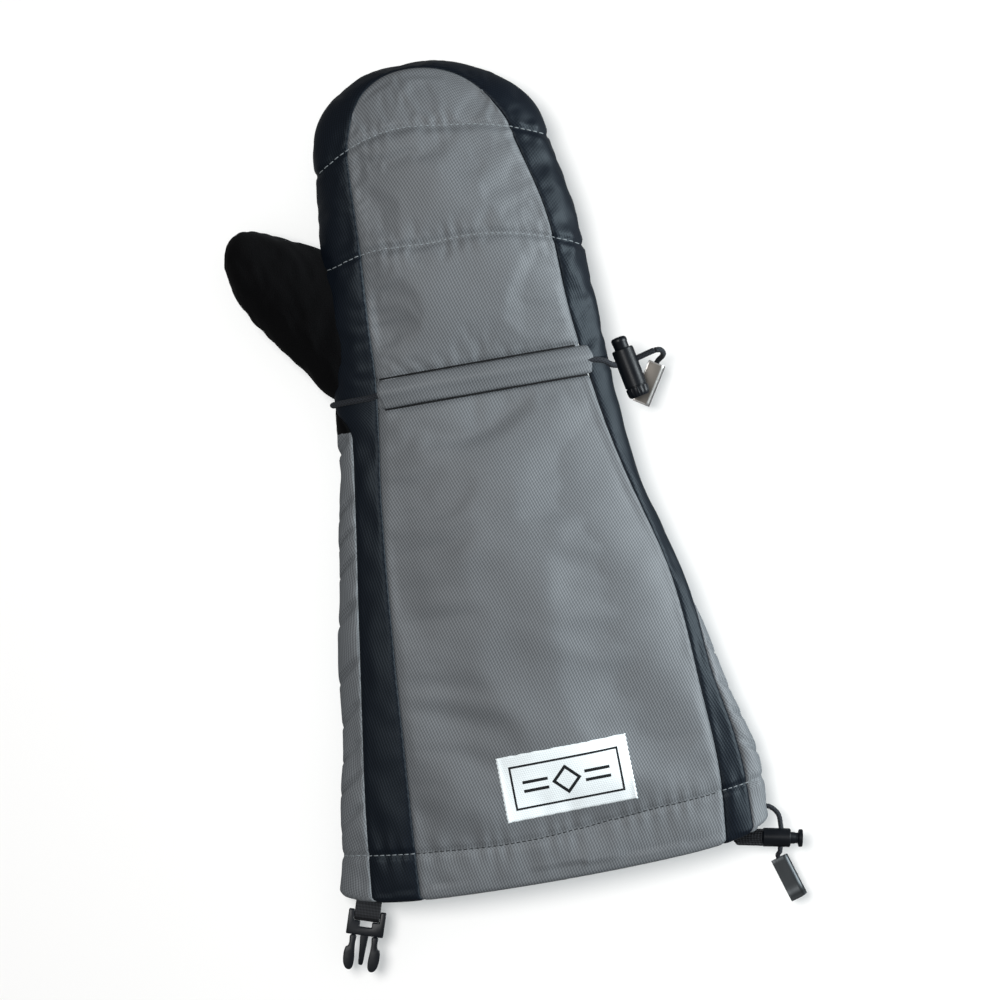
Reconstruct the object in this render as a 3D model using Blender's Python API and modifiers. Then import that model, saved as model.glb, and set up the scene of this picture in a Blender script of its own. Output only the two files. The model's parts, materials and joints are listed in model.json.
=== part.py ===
"""A child's ski mitten for the right hand, lying palm down, in metres.

The mitten is a padded hand with a thumb and a long gauntlet. Its outer shell is sewn from panels over
insulation, a waterproof insert and a fleece liner. An elastic cord with a barrel lock cinches the wrist,
a second one cinches the hem, and a side-release plug hangs from the hem to hold the pair together.

Shapes are worked out in wrist coordinates: x across, +y to the fingertips, y = 0 on the wrist cord, z = 0 on
the ground. Everything hangs on one empty that moves the palm's resting face to the world origin.
"""

import math

import bmesh
import bpy
from mathutils import Matrix, Vector

MM = 0.001
WRIST_TO_PALM = 57 * MM

# Outline of the body in plan: y, half width on the thumb side, half width on the outer side.
OUTLINE = [
    (-215 * MM, 94.0 * MM, 94.0 * MM),
    (-150 * MM, 83.0 * MM, 86.5 * MM),
    (-100 * MM, 75.0 * MM, 76.5 * MM),
    (-50 * MM, 66.5 * MM, 66.0 * MM),
    (0 * MM, 60.0 * MM, 60.0 * MM),
    (30 * MM, 58.5 * MM, 59.0 * MM),
    (60 * MM, 54.5 * MM, 57.0 * MM),
    (98 * MM, 51.0 * MM, 51.0 * MM),
]
TIP_CENTRE_Y = 98 * MM
TIP_REACH = 40.5 * MM
# Heights of the section: y, the widest line, the crown of the back.
HEIGHTS = [
    (-215 * MM, 15 * MM, 32 * MM),
    (-150 * MM, 17 * MM, 38 * MM),
    (-60 * MM, 18.5 * MM, 40 * MM),
    (0 * MM, 19 * MM, 38 * MM),
    (45 * MM, 19 * MM, 43 * MM),
    (98 * MM, 18 * MM, 42 * MM),
]
BACK_POWER, PALM_POWER = 2.3, 3.0
PALM_FLATTEN = 1.08
CINCH_LIFT, CINCH_FULL, CINCH_END = 3.4 * MM, 10 * MM, 26 * MM
HEM_Y, HEM_HALF = -215 * MM, 94 * MM
HEM_BOW, HEM_CORNER, HEM_CORNER_POWER = 3.5 * MM, 6 * MM, 8

# Seams, as degrees round the section from the crown of the back: y, degrees.
SEAM_TOP = {
    -1: [(-215 * MM, 37), (-100 * MM, 41), (-36 * MM, 43), (16 * MM, 40), (98 * MM, 42)],
    1: [(-215 * MM, 50), (-150 * MM, 57), (-60 * MM, 67), (-26 * MM, 58), (16 * MM, 50), (98 * MM, 42)],
}
SEAM_LOW = {
    -1: [(-215 * MM, 56), (-100 * MM, 57), (-36 * MM, 61), (16 * MM, 64)],
    1: [(-215 * MM, 64), (-140 * MM, 66), (-110 * MM, 80), (-60 * MM, 95), (16 * MM, 97)],
}
HAND_SEAM_LOW = 97
TIP_SEAM_RISE = 25
SEAM_GAP = 1.1
FILL_SEAM_GAP = 3.5

# The wrist and the thumb bend on these lines; each edge next to one is cut back to leave room for the bend.
WRIST_HINGE_Y, WRIST_HINGE_Z = 16 * MM, 19 * MM
WRIST_RELIEF = math.radians(14)
EDGE_GAP = 0.6 * MM
THUMB_ROOT = Vector((-58.3 * MM, 40 * MM, 17 * MM))
THUMB_ALONG = Vector((-0.78, 0.62, 0)).normalized()
THUMB_ACROSS = Vector((0.62, 0.78, 0)).normalized()
THUMB_CENTRE, THUMB_REACH = 31 * MM, 18.5 * MM
THUMB_HALF_WIDTH, THUMB_HALF_HEIGHT, THUMB_TAPER = 18 * MM, 12.5 * MM, 2.5 * MM
THUMB_ROOT_SLANT = 0.62
THUMB_RELIEF = math.radians(22)
THUMB_POWER = 2.2
THUMB_HOLE_LENGTH, THUMB_HOLE_HALF_Y, THUMB_HOLE_HALF_Z = 40 * MM, 12 * MM, 7 * MM

# Layers: depth below the outer surface, thickness.
SHELL = (0, 0.8 * MM)
PALM_SHELL = (0, 1.2 * MM)
BACK_FILL = (1.6 * MM, 4.0 * MM)
PALM_FILL = (2.2 * MM, 3.2 * MM)
INSERT = (8.0 * MM, 0.4 * MM)
LINER = (9.3 * MM, 1.2 * MM)
GAUNTLET_FILL = (2.9 * MM, 1.5 * MM)
GAUNTLET_LINING = (6.0 * MM, 0.5 * MM)
HEM_FACING = (4.8 * MM, 0.7 * MM)
THUMB_FILL = (1.4 * MM, 1.8 * MM)
THUMB_LINER = (4.2 * MM, 0.8 * MM)
HEM_FACING_DEPTH, LAYER_END_GAP = 19 * MM, 1.0 * MM

GAUNTLET_ROWS = [y * MM for y in (-180, -150, -115, -80, -50, -25, -9, 6)]
HAND_ROWS = [y * MM for y in (16, 30, 50, 72, 98)]
TIP_STEPS = 5
THUMB_STEPS = 4
COLUMN_ANGLE, STRIP_ANGLE, THUMB_COLUMN_ANGLE = 15, 8, 22.5

CASING_FROM, CASING_TO = -37, 55
CASING_PROFILE = [(-5.2 * MM, 1.2 * MM), (-4.4 * MM, 3.4 * MM), (0.5 * MM, 4.6 * MM),
                  (5.4 * MM, 3.4 * MM), (6.2 * MM, 1.2 * MM)]
CASING_WALL = 0.5 * MM

LABEL_SIZE = (56 * MM, 28 * MM)
LABEL_CENTRE = (10.5 * MM, -172.5 * MM)
LABEL_LIFT, LABEL_THICKNESS = 0.5 * MM, 0.5 * MM

CORD_RADIUS, CORD_LIFT = 1.1 * MM, 1.7 * MM
CORD_END_ANGLE, WRIST_CORD_OUT = 140, 12 * MM
CORD_ENTRY_BEND = [(-4.5 * MM, 2.4 * MM, 5.4 * MM), (-1.6 * MM, 0.4 * MM, 1.9 * MM)]
TAIL_BEND = [(2.2 * MM, -0.2 * MM, -1.2 * MM), (3.3 * MM, -1.4 * MM, -3.8 * MM),
             (3.0 * MM, -2.8 * MM, -8.0 * MM)]
HEM_CORD_RADIUS, HEM_CORD_DEPTH, HEM_CORD_RISE = 0.9 * MM, 2.6 * MM, 8 * MM
HEM_EYELET_ANGLE, HEM_EYELET_RADIUS, HEM_EYELET_LENGTH = 98, 1.7 * MM, 6 * MM
HEM_CORD_SEWN_ANGLE, HEM_CORD_OUT = 84, 5.0 * MM
HEM_LOOP_OUT, HEM_LOOP_BEND = (4.2 * MM, -0.6 * MM, 0), (1.4 * MM, 1.2 * MM, 0)
CORD_STEP = 12
TAIL_GAP = 0.9 * MM

# Barrel cord locks: the cord hole is the local origin, the button end points along local -x.
LOCK_BORE_CLEARANCE, LOCK_WALL, LOCK_FLOOR = 0.3 * MM, 1.2 * MM, 1.6 * MM
LOCK_HOLE = 1.5 * MM
BUTTON_HEAD_HEIGHT, BUTTON_LIP, BUTTON_PROUD, BUTTON_TRAVEL = 1.5 * MM, 0.5 * MM, 5.2 * MM, 3.0 * MM
BUTTON_SHAFT_BELOW_SLOT = 1.4 * MM
SPRING_WIRE, SPRING_GAP, SPRING_PITCH, SPRING_SIDES = 0.3 * MM, 0.35 * MM, 2.0 * MM, 8
WRIST_LOCK_HOLE, WRIST_LOCK_TURN = Vector((66.4 * MM, -3.1 * MM, 24 * MM)), math.radians(-79)
WRIST_LOCK_TOP, WRIST_LOCK_BOTTOM, WRIST_LOCK_RADIUS = 5.5 * MM, 16 * MM, 4.7 * MM
HEM_LOCK_HOLE, HEM_LOCK_TURN = Vector((96.2 * MM, -214.8 * MM, 11.6 * MM)), math.radians(168.5)
HEM_LOCK_TOP, HEM_LOCK_BOTTOM, HEM_LOCK_RADIUS = 4.2 * MM, 8.0 * MM, 4.0 * MM

# Folded metal cord ends: near end centre, direction of the length.
CLIP_LENGTH, CLIP_WIDTH, CLIP_GAP, CLIP_METAL = 18.5 * MM, 8 * MM, 3.2 * MM, 0.7 * MM
CLIP_GRIP, CLIP_FOLD_STEPS = 13 * MM, 6
WRIST_CLIP_NEAR, WRIST_CLIP_TURN = Vector((79.3 * MM, -6.0 * MM, 12 * MM)), math.radians(238)
HEM_CLIP_NEAR, HEM_CLIP_TURN = Vector((94.2 * MM, -223.5 * MM, 8.0 * MM)), math.radians(287)

# Side-release plug, from its webbing bar at the local origin along local +x.
PLUG_BAR, PLUG_TURN = Vector((-83.4 * MM, -216.6 * MM, 12.8 * MM)), math.radians(252)
PLUG_HALF_WIDTH, PLUG_THICKNESS, PLUG_RAIL = 8 * MM, 4.2 * MM, 2.4 * MM
PLUG_TOP, PLUG_PLATE_START, PLUG_PLATE_END = -1.8 * MM, 5.4 * MM, 8.8 * MM
PLUG_BAR_RADIUS = 1.2 * MM
TONGUE_END, TONGUE_ROOT_HALF, TONGUE_TIP_HALF = 21.5 * MM, 1.8 * MM, 0.9 * MM
PRONG_OUTLINE = [(9.2 * MM, 3.2 * MM), (14 * MM, 3.6 * MM), (18 * MM, 3.5 * MM), (22 * MM, 2.9 * MM),
                 (23.6 * MM, 3.6 * MM), (24 * MM, 5.0 * MM), (23 * MM, 6.6 * MM), (21 * MM, 7.7 * MM),
                 (18.5 * MM, 7.6 * MM), (17 * MM, 6.6 * MM), (14 * MM, 6.2 * MM), (9.2 * MM, 6.0 * MM)]
PRONG_THICKNESS, PRONG_ROOT_MIDDLE = 3.4 * MM, 4.6 * MM
WEBBING_HALF_WIDTH, WEBBING_THICKNESS, WEBBING_PLAY, WEBBING_LENGTH = 5 * MM, 1.0 * MM, 0.3 * MM, 10 * MM
WEBBING_LOOP_START, WEBBING_LOOP_STEPS = math.radians(110), 8
TAB_HALF_WIDTH, TAB_THICKNESS, TAB_LENGTH = 3 * MM, 1.4 * MM, 12 * MM
PART_GAP = 0.4 * MM


# ---------------------------------------------------------------- scene helpers


def clear_scene():
    for found in list(bpy.data.objects):
        bpy.data.objects.remove(found)


def new_collection(name):
    made = bpy.data.collections.new(name)
    bpy.context.scene.collection.children.link(made)
    return made


def new_material(name, colour, roughness, metallic=0.0):
    made = bpy.data.materials.new(name)
    made.use_nodes = True
    shader = made.node_tree.nodes["Principled BSDF"]
    shader.inputs["Base Color"].default_value = (*colour, 1)
    shader.inputs["Roughness"].default_value = roughness
    shader.inputs["Metallic"].default_value = metallic
    return made


def new_empty(name, place, turn=0.0, parent=None):
    made = bpy.data.objects.new(name, None)
    PARTS.objects.link(made)
    made.location = place
    made.rotation_euler.z = turn
    made.parent = parent
    return made


def new_pivot(name, axis_point, parent):
    """An empty on a joint's axis, and under it one back at the parent's origin, for the pieces that move."""
    pivot = new_empty(name, axis_point, parent=parent)
    return new_empty(name + "_pieces", -Vector(axis_point), parent=pivot)


def add_part(name, data, material, parent):
    made = bpy.data.objects.new(name, data)
    PARTS.objects.link(made)
    made.data.materials.append(material)
    made.parent = parent
    if made.type == "MESH":
        made.data.shade_smooth()
        made.data.set_sharp_from_angle(angle=math.radians(35))
    return made


def add_cutter(name, mesh, parent):
    made = bpy.data.objects.new(name, mesh)
    CUTTERS.objects.link(made)
    made.parent = parent
    made.hide_render = True
    made.display_type = "WIRE"
    return made


def solidify(part, thickness):
    """Give a sheet its thickness, on the side away from its normals."""
    modifier = part.modifiers.new("thickness", "SOLIDIFY")
    modifier.thickness = thickness
    modifier.offset = -1
    modifier.use_even_offset = True


def boolean(part, other, operation="DIFFERENCE"):
    modifier = part.modifiers.new(operation.lower(), "BOOLEAN")
    modifier.operation = operation
    modifier.object = other


def grid_mesh(name, grid, flip=False):
    """A sheet of quads through grid[row][column], with points that coincide made one."""
    made = bmesh.new()
    rows = [[made.verts.new(point) for point in row] for row in grid]
    for low, high in zip(rows, rows[1:]):
        for corners in zip(low, low[1:], high[1:], high):
            made.faces.new(corners[::-1] if flip else corners)
    bmesh.ops.remove_doubles(made, verts=made.verts, dist=0.01 * MM)
    mesh = bpy.data.meshes.new(name)
    made.to_mesh(mesh)
    made.free()
    return mesh


def plate_mesh(name, outline, thickness):
    """A flat outline in x and y, raised to a plate that is centred on z = 0."""
    made = bmesh.new()
    base = [made.verts.new((x, y, -thickness / 2)) for x, y in outline]
    face = made.faces.new(base)
    raised = bmesh.ops.extrude_face_region(made, geom=[face])
    moved = [item for item in raised["geom"] if isinstance(item, bmesh.types.BMVert)]
    bmesh.ops.translate(made, vec=(0, 0, thickness), verts=moved)
    bmesh.ops.recalc_face_normals(made, faces=made.faces)
    mesh = bpy.data.meshes.new(name)
    made.to_mesh(mesh)
    made.free()
    return mesh


def cylinder_mesh(name, radius, length, direction, sides=16, stretch=(1, 1, 1)):
    made = bmesh.new()
    bmesh.ops.create_cone(made, cap_ends=True, segments=sides, radius1=radius, radius2=radius, depth=length)
    turn = Vector((0, 0, 1)).rotation_difference(Vector(direction)).to_matrix().to_4x4()
    bmesh.ops.transform(made, matrix=Matrix.Diagonal((*stretch, 1)) @ turn, verts=made.verts)
    mesh = bpy.data.meshes.new(name)
    made.to_mesh(mesh)
    made.free()
    return mesh


def turned_part(name, profile, material, parent, steps=20):
    """A turned piece round local x: the profile lists (along x, radius), down its outer side."""
    mesh = bpy.data.meshes.new(name)
    points = [(radius, 0, -along) for along, radius in profile]
    mesh.from_pydata(points, [(index, index + 1) for index in range(len(points) - 1)], [])
    part = add_part(name, mesh, material, parent)
    part.rotation_euler.y = math.radians(-90)
    modifier = part.modifiers.new("turn", "SCREW")
    modifier.steps = modifier.render_steps = steps
    modifier.use_merge_vertices = True
    modifier.merge_threshold = 0.01 * MM
    modifier.use_smooth_shade = False
    return part


def cord_part(name, points, radius, material, parent):
    curve = bpy.data.curves.new(name, "CURVE")
    curve.dimensions = "3D"
    curve.bevel_depth = radius
    curve.bevel_resolution = 1
    curve.use_fill_caps = True
    spline = curve.splines.new("POLY")
    spline.points.add(len(points) - 1)
    for index, point in enumerate(points):
        spline.points[index].co = (*point, 1)
    return add_part(name, curve, material, parent)


# ---------------------------------------------------------------- the body's surface


def between(table, y, column=1):
    """A value from a table whose rows start with y, straight between its rows."""
    if y <= table[0][0]:
        return table[0][column]
    for low, high in zip(table, table[1:]):
        if y <= high[0]:
            share = (y - low[0]) / (high[0] - low[0])
            return low[column] + share * (high[column] - low[column])
    return table[-1][column]


def ground_clearance(y):
    """How far the palm side is lifted off the ground where the wrist cord passes beneath it."""
    share = (CINCH_END - abs(y)) / (CINCH_END - CINCH_FULL)
    return CINCH_LIFT * min(1, max(0, share))


def flat_direction(turn):
    return Vector((math.cos(turn), math.sin(turn), 0))


def body_point(y, turn, depth, tip_turn=0.0):
    """A point of the body's surface, `depth` inside it.

    `turn` is in degrees round the section from the crown, positive to the outer side. `tip_turn` is in
    degrees round the fingertip from the side; it's only used on the row at the fingertip's centre.
    """
    turn = (turn + 180) % 360 - 180
    side = 1 if turn >= 0 else -1
    angle = math.radians(abs(turn))
    power = BACK_POWER if abs(turn) < 90 else PALM_POWER
    spread = math.sin(angle) ** (2 / power)
    half = between(OUTLINE, y, 2 if side > 0 else 1) - depth
    widest = between(HEIGHTS, y, 1)
    floor = ground_clearance(y) + depth
    rise = abs(math.cos(angle)) ** (2 / power)
    if abs(turn) < 90:
        z = widest + (between(HEIGHTS, y, 2) - depth - widest) * rise
    else:
        z = max(floor, widest - (widest - floor) * PALM_FLATTEN * rise)
    x = side * half * spread * math.cos(math.radians(tip_turn))
    reach = (TIP_REACH - depth) * spread * math.sin(math.radians(tip_turn))
    return Vector((x, y + reach, z))


def hem_line(x):
    """The hem's edge, bowed up to its sides and rounded at its corners."""
    share = abs(x) / HEM_HALF
    return HEM_Y + HEM_BOW * share**2 + HEM_CORNER * share**HEM_CORNER_POWER


def wrist_cut(z):
    return EDGE_GAP + abs(z - WRIST_HINGE_Z) * math.tan(WRIST_RELIEF)


def spread_turns(first, last, step):
    """Turns from first to last, evenly spaced at about `step` degrees."""
    count = math.ceil((last - first) / step)
    return [first + (last - first) * index / count for index in range(count + 1)]


def gauntlet_sheet(name, depth, first, last, low=0.0, high=None, step=COLUMN_ANGLE):
    """Part of the gauntlet between two seams, from `low` above the hem to the wrist or to `high`."""
    top_y = WRIST_HINGE_Y if high is None else HEM_Y + high
    inner = [y for y in GAUNTLET_ROWS if HEM_Y + low + HEM_CORNER < y < top_y - HEM_CORNER]
    count = math.ceil((last(HEM_Y) - first(HEM_Y)) / step) + 1
    grid = []
    for y in [HEM_Y + low, *inner, top_y]:
        row = []
        for index in range(count):
            turn = first(y) + (last(y) - first(y)) * index / (count - 1)
            point = body_point(y, turn, depth)
            if y == HEM_Y + low:
                point.y = hem_line(point.x) + low
            elif high is not None and y == top_y:
                point.y = hem_line(point.x) + high
            elif y == top_y:
                point.y -= wrist_cut(point.z)
            row.append(point)
        grid.append(row)
    return grid_mesh(name, grid)


def hand_stations():
    """Rows round the hand's outline: up the thumb side, round the fingertip and down the outer side."""
    up = [(y, -1, 0.0) for y in HAND_ROWS]
    tip = [(TIP_CENTRE_Y, -1, 90 * step / TIP_STEPS) for step in range(1, TIP_STEPS)]
    there = up + tip
    back = [(y, 1, tip_turn) for y, _, tip_turn in reversed(there)]
    return [*there, (TIP_CENTRE_Y, -1, 90.0), *back]


def hand_sheet(name, depth, first, last):
    """Part of the hand between two angles from the crown, each given as a function of the row."""
    start = (HAND_ROWS[0], 1, 0.0)
    count = max(2, round((last(*start) - first(*start)) / COLUMN_ANGLE) + 1)
    grid = []
    for y, side, tip_turn in hand_stations():
        low, high = first(y, side, tip_turn), last(y, side, tip_turn)
        row = []
        for index in range(count):
            turn = low + (high - low) * index / (count - 1)
            point = body_point(y, side * turn, depth, tip_turn)
            if y == HAND_ROWS[0]:
                point.y += wrist_cut(point.z)
            row.append(point)
        grid.append(row)
    return grid_mesh(name, grid, flip=True)


def hand_seam(y, side, tip_turn):
    return between(SEAM_TOP[side], y) + TIP_SEAM_RISE * math.sin(math.radians(tip_turn))


# ---------------------------------------------------------------- shell, layers, thumb


def make_hand():
    panels = {
        "hand_back_panel": (SHELL, lambda *row: 0, hand_seam, TWILL),
        "hand_side_strip": (SHELL, lambda *row: hand_seam(*row) + SEAM_GAP, lambda *row: HAND_SEAM_LOW, DARK),
        "palm_panel": (PALM_SHELL, lambda *row: HAND_SEAM_LOW + SEAM_GAP, lambda *row: 180, SUEDE),
        "hand_fill_back": (BACK_FILL, lambda *row: 0, lambda *row: 90 - FILL_SEAM_GAP, FILL),
        "hand_fill_palm": (PALM_FILL, lambda *row: 90 + FILL_SEAM_GAP, lambda *row: 180, FILL),
        "hand_insert": (INSERT, lambda *row: 0, lambda *row: 180, MEMBRANE),
        "hand_liner": (LINER, lambda *row: 0, lambda *row: 180, FLEECE),
    }
    hand = new_pivot("wrist_flex", (0, WRIST_HINGE_Y, WRIST_HINGE_Z), MITTEN)
    oval = (1, THUMB_HOLE_HALF_Y, THUMB_HOLE_HALF_Z)
    mesh = cylinder_mesh("thumb_passage", 1, THUMB_HOLE_LENGTH, (1, 0, 0), stretch=oval)
    passage = add_cutter("thumb_passage", mesh, hand)
    passage.location = THUMB_ROOT
    for name, ((depth, thickness), first, last, material) in panels.items():
        part = add_part(name, hand_sheet(name, depth, first, last), material, hand)
        solidify(part, thickness)
        if name not in ("hand_back_panel", "palm_panel"):
            boolean(part, passage)


def make_gauntlet():
    def top(side):
        return lambda y: side * between(SEAM_TOP[side], y)

    def low(side):
        return lambda y: side * between(SEAM_LOW[side], y)

    back = gauntlet_sheet("gauntlet_back_panel", 0, top(-1), top(1))
    thumb_side = gauntlet_sheet(
        "gauntlet_strip_thumb_side", 0, low(-1), lambda y: top(-1)(y) - SEAM_GAP, step=STRIP_ANGLE
    )
    outer_side = gauntlet_sheet(
        "gauntlet_strip_outer_side", 0, lambda y: top(1)(y) + SEAM_GAP, low(1), step=STRIP_ANGLE / 2
    )
    palm = gauntlet_sheet(
        "gauntlet_palm_panel", 0, lambda y: low(1)(y) + SEAM_GAP, lambda y: 360 + low(-1)(y) - SEAM_GAP
    )
    for mesh, material in ((back, TWILL), (thumb_side, DARK), (outer_side, DARK), (palm, TWILL)):
        solidify(add_part(mesh.name, mesh, material, MITTEN), SHELL[1])

    def whole(start):
        return lambda y: start

    wraps = {
        "gauntlet_fill": (GAUNTLET_FILL, HEM_FACING_DEPTH + LAYER_END_GAP, None, FILL),
        "gauntlet_lining": (GAUNTLET_LINING, HEM_FACING_DEPTH + LAYER_END_GAP, None, LINING),
        "hem_facing": (HEM_FACING, 0.0, HEM_FACING_DEPTH, TWILL),
    }
    for name, ((depth, thickness), start, end, material) in wraps.items():
        mesh = gauntlet_sheet(name, depth, whole(-180), whole(180), start, end)
        solidify(add_part(name, mesh, material, MITTEN), thickness)

    eyelet = add_cutter(
        "hem_eyelet", cylinder_mesh("hem_eyelet", HEM_EYELET_RADIUS, HEM_EYELET_LENGTH, (1, 0, 0)), MITTEN
    )
    eyelet.location = hem_cord_point(HEM_EYELET_ANGLE)
    eyelet.location.x += HEM_CORD_DEPTH
    boolean(bpy.data.objects["gauntlet_palm_panel"], eyelet)


def thumb_point(along, angle, depth, tip_turn, side):
    """A point of the thumb's surface; `angle` runs from its crown, `side` is +1 on the fingertip side."""
    spread = math.sin(angle) ** (2 / THUMB_POWER)
    rise = abs(math.cos(angle)) ** (2 / THUMB_POWER)
    half = THUMB_HALF_WIDTH - depth - THUMB_TAPER * max(0, along) / THUMB_CENTRE
    z = (THUMB_HALF_HEIGHT - depth) * math.copysign(rise, math.cos(angle))
    across = side * half * spread * math.cos(math.radians(tip_turn))
    reach = (THUMB_REACH - depth) * spread * math.sin(math.radians(tip_turn))
    if along <= 0:
        reach += THUMB_ROOT_SLANT * across + EDGE_GAP + abs(z) * math.tan(THUMB_RELIEF)
    return THUMB_ALONG * (along + reach) + THUMB_ACROSS * across + Vector((0, 0, z))


def thumb_sheet(name, depth, low, high):
    up = [(0.0, -1, 0.0), (THUMB_CENTRE * 0.55, -1, 0.0), (THUMB_CENTRE, -1, 0.0)]
    tip = [(THUMB_CENTRE, -1, 90 * step / THUMB_STEPS) for step in range(1, THUMB_STEPS)]
    there = up + tip
    back = [(along, 1, tip_turn) for along, _, tip_turn in reversed(there)]
    angles = [math.radians(turn) for turn in spread_turns(low, high, THUMB_COLUMN_ANGLE)]
    grid = []
    for along, side, tip_turn in [*there, (THUMB_CENTRE, -1, 90.0), *back]:
        grid.append([thumb_point(along, angle, depth, tip_turn, side) for angle in angles])
    return grid_mesh(name, grid, flip=True)


def make_thumb():
    thumb = new_empty("thumb_swing", THUMB_ROOT, parent=MITTEN)
    pieces = {
        "thumb_back_panel": (SHELL, 0, 90 - SEAM_GAP, SUEDE),
        "thumb_palm_panel": (SHELL, 90 + SEAM_GAP, 180, SUEDE),
        "thumb_fill": (THUMB_FILL, 0, 180, FILL),
        "thumb_liner": (THUMB_LINER, 0, 180, FLEECE),
    }
    for name, ((depth, thickness), low, high, material) in pieces.items():
        part = add_part(name, thumb_sheet(name, depth, low, high), material, thumb)
        solidify(part, thickness)


def make_casing():
    grid = []
    for y, lift in CASING_PROFILE:
        steps = spread_turns(CASING_FROM, CASING_TO, COLUMN_ANGLE)
        grid.append([body_point(0, turn, -lift) + Vector((0, y, 0)) for turn in steps])
    part = add_part("wrist_casing", grid_mesh("wrist_casing", grid), TWILL, MITTEN)
    solidify(part, CASING_WALL)


def height_over(x, y, lift):
    """Height of the back at a place in plan."""
    half = between(OUTLINE, y, 2 if x > 0 else 1)
    widest, crown = between(HEIGHTS, y, 1), between(HEIGHTS, y, 2)
    return widest + (crown - widest) * (1 - (abs(x) / half) ** BACK_POWER) ** (1 / BACK_POWER) + lift


def make_label():
    columns, rows = 8, 3
    grid = []
    for row in range(rows + 1):
        y = LABEL_CENTRE[1] + LABEL_SIZE[1] * (row / rows - 0.5)
        across = [LABEL_CENTRE[0] + LABEL_SIZE[0] * (column / columns - 0.5) for column in range(columns + 1)]
        grid.append([Vector((x, y, height_over(x, y, LABEL_LIFT + LABEL_THICKNESS))) for x in across])
    solidify(add_part("label", grid_mesh("label", grid), LABEL, MITTEN), LABEL_THICKNESS)


# ---------------------------------------------------------------- cords, locks and clips


def wrist_cord_path():
    """From the sewn end under the palm, round the thumb side, through the casing and out to the lock."""
    path = []
    for turn in range(CORD_END_ANGLE, 360 + CASING_FROM, CORD_STEP):
        path.append(body_point(0, turn, -CORD_LIFT))
    for turn in range(CASING_FROM, CASING_TO + 1, CORD_STEP):
        path.append(body_point(0, turn, -CORD_LIFT) + Vector((0, CORD_RADIUS / 2, 0)))
    straight = flat_direction(WRIST_LOCK_TURN + math.pi / 2)
    entry = WRIST_LOCK_HOLE - straight * (WRIST_LOCK_RADIUS + PART_GAP / 2)
    path.extend(entry + Vector(offset) for offset in CORD_ENTRY_BEND)
    path.append(entry)
    path.append(WRIST_LOCK_HOLE + straight * WRIST_CORD_OUT)
    return path


def wrist_tail_path():
    straight = flat_direction(WRIST_LOCK_TURN + math.pi / 2)
    start = WRIST_LOCK_HOLE + straight * (WRIST_CORD_OUT + TAIL_GAP)
    inwards = flat_direction(WRIST_CLIP_TURN)
    held = [WRIST_CLIP_NEAR - inwards * MM, WRIST_CLIP_NEAR + inwards * CLIP_GRIP]
    return [start, *[start + Vector(offset) for offset in TAIL_BEND], *held]


def hem_cord_point(turn):
    y = hem_line(body_point(HEM_Y, turn, HEM_CORD_DEPTH).x) + HEM_CORD_RISE
    return body_point(y, turn, HEM_CORD_DEPTH)


def hem_cord_path():
    """From the sewn end in the hem's outer side, over the back, round the palm side and out of the eyelet."""
    last = HEM_EYELET_ANGLE - 360
    count = round((HEM_CORD_SEWN_ANGLE - last) / CORD_STEP)
    path = []
    for index in range(count + 1):
        turn = HEM_CORD_SEWN_ANGLE + (last - HEM_CORD_SEWN_ANGLE) * index / count
        path.append(hem_cord_point(turn))
    through = flat_direction(HEM_LOCK_TURN + math.pi / 2)
    above = HEM_LOCK_HOLE - through * (HEM_LOCK_RADIUS + MM)
    out = path[-1] + Vector(HEM_LOOP_OUT)
    path.append(out)
    path.append((out + above) / 2 + Vector(HEM_LOOP_BEND))
    path.append(above)
    path.append(HEM_LOCK_HOLE + through * HEM_CORD_OUT)
    return path


def hem_tail_path():
    through = flat_direction(HEM_LOCK_TURN + math.pi / 2)
    start = HEM_LOCK_HOLE + through * (HEM_CORD_OUT + TAIL_GAP)
    inwards = flat_direction(HEM_CLIP_TURN)
    return [start, HEM_CLIP_NEAR - inwards * MM, HEM_CLIP_NEAR + inwards * CLIP_GRIP]


def spring_path(start, end, radius):
    count = round((end - start) / SPRING_PITCH * SPRING_SIDES)
    path = []
    for index in range(count + 1):
        angle = 2 * math.pi * index / SPRING_SIDES
        along = start + (end - start) * index / count
        path.append(Vector((along, radius * math.cos(angle), radius * math.sin(angle))))
    return path


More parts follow.
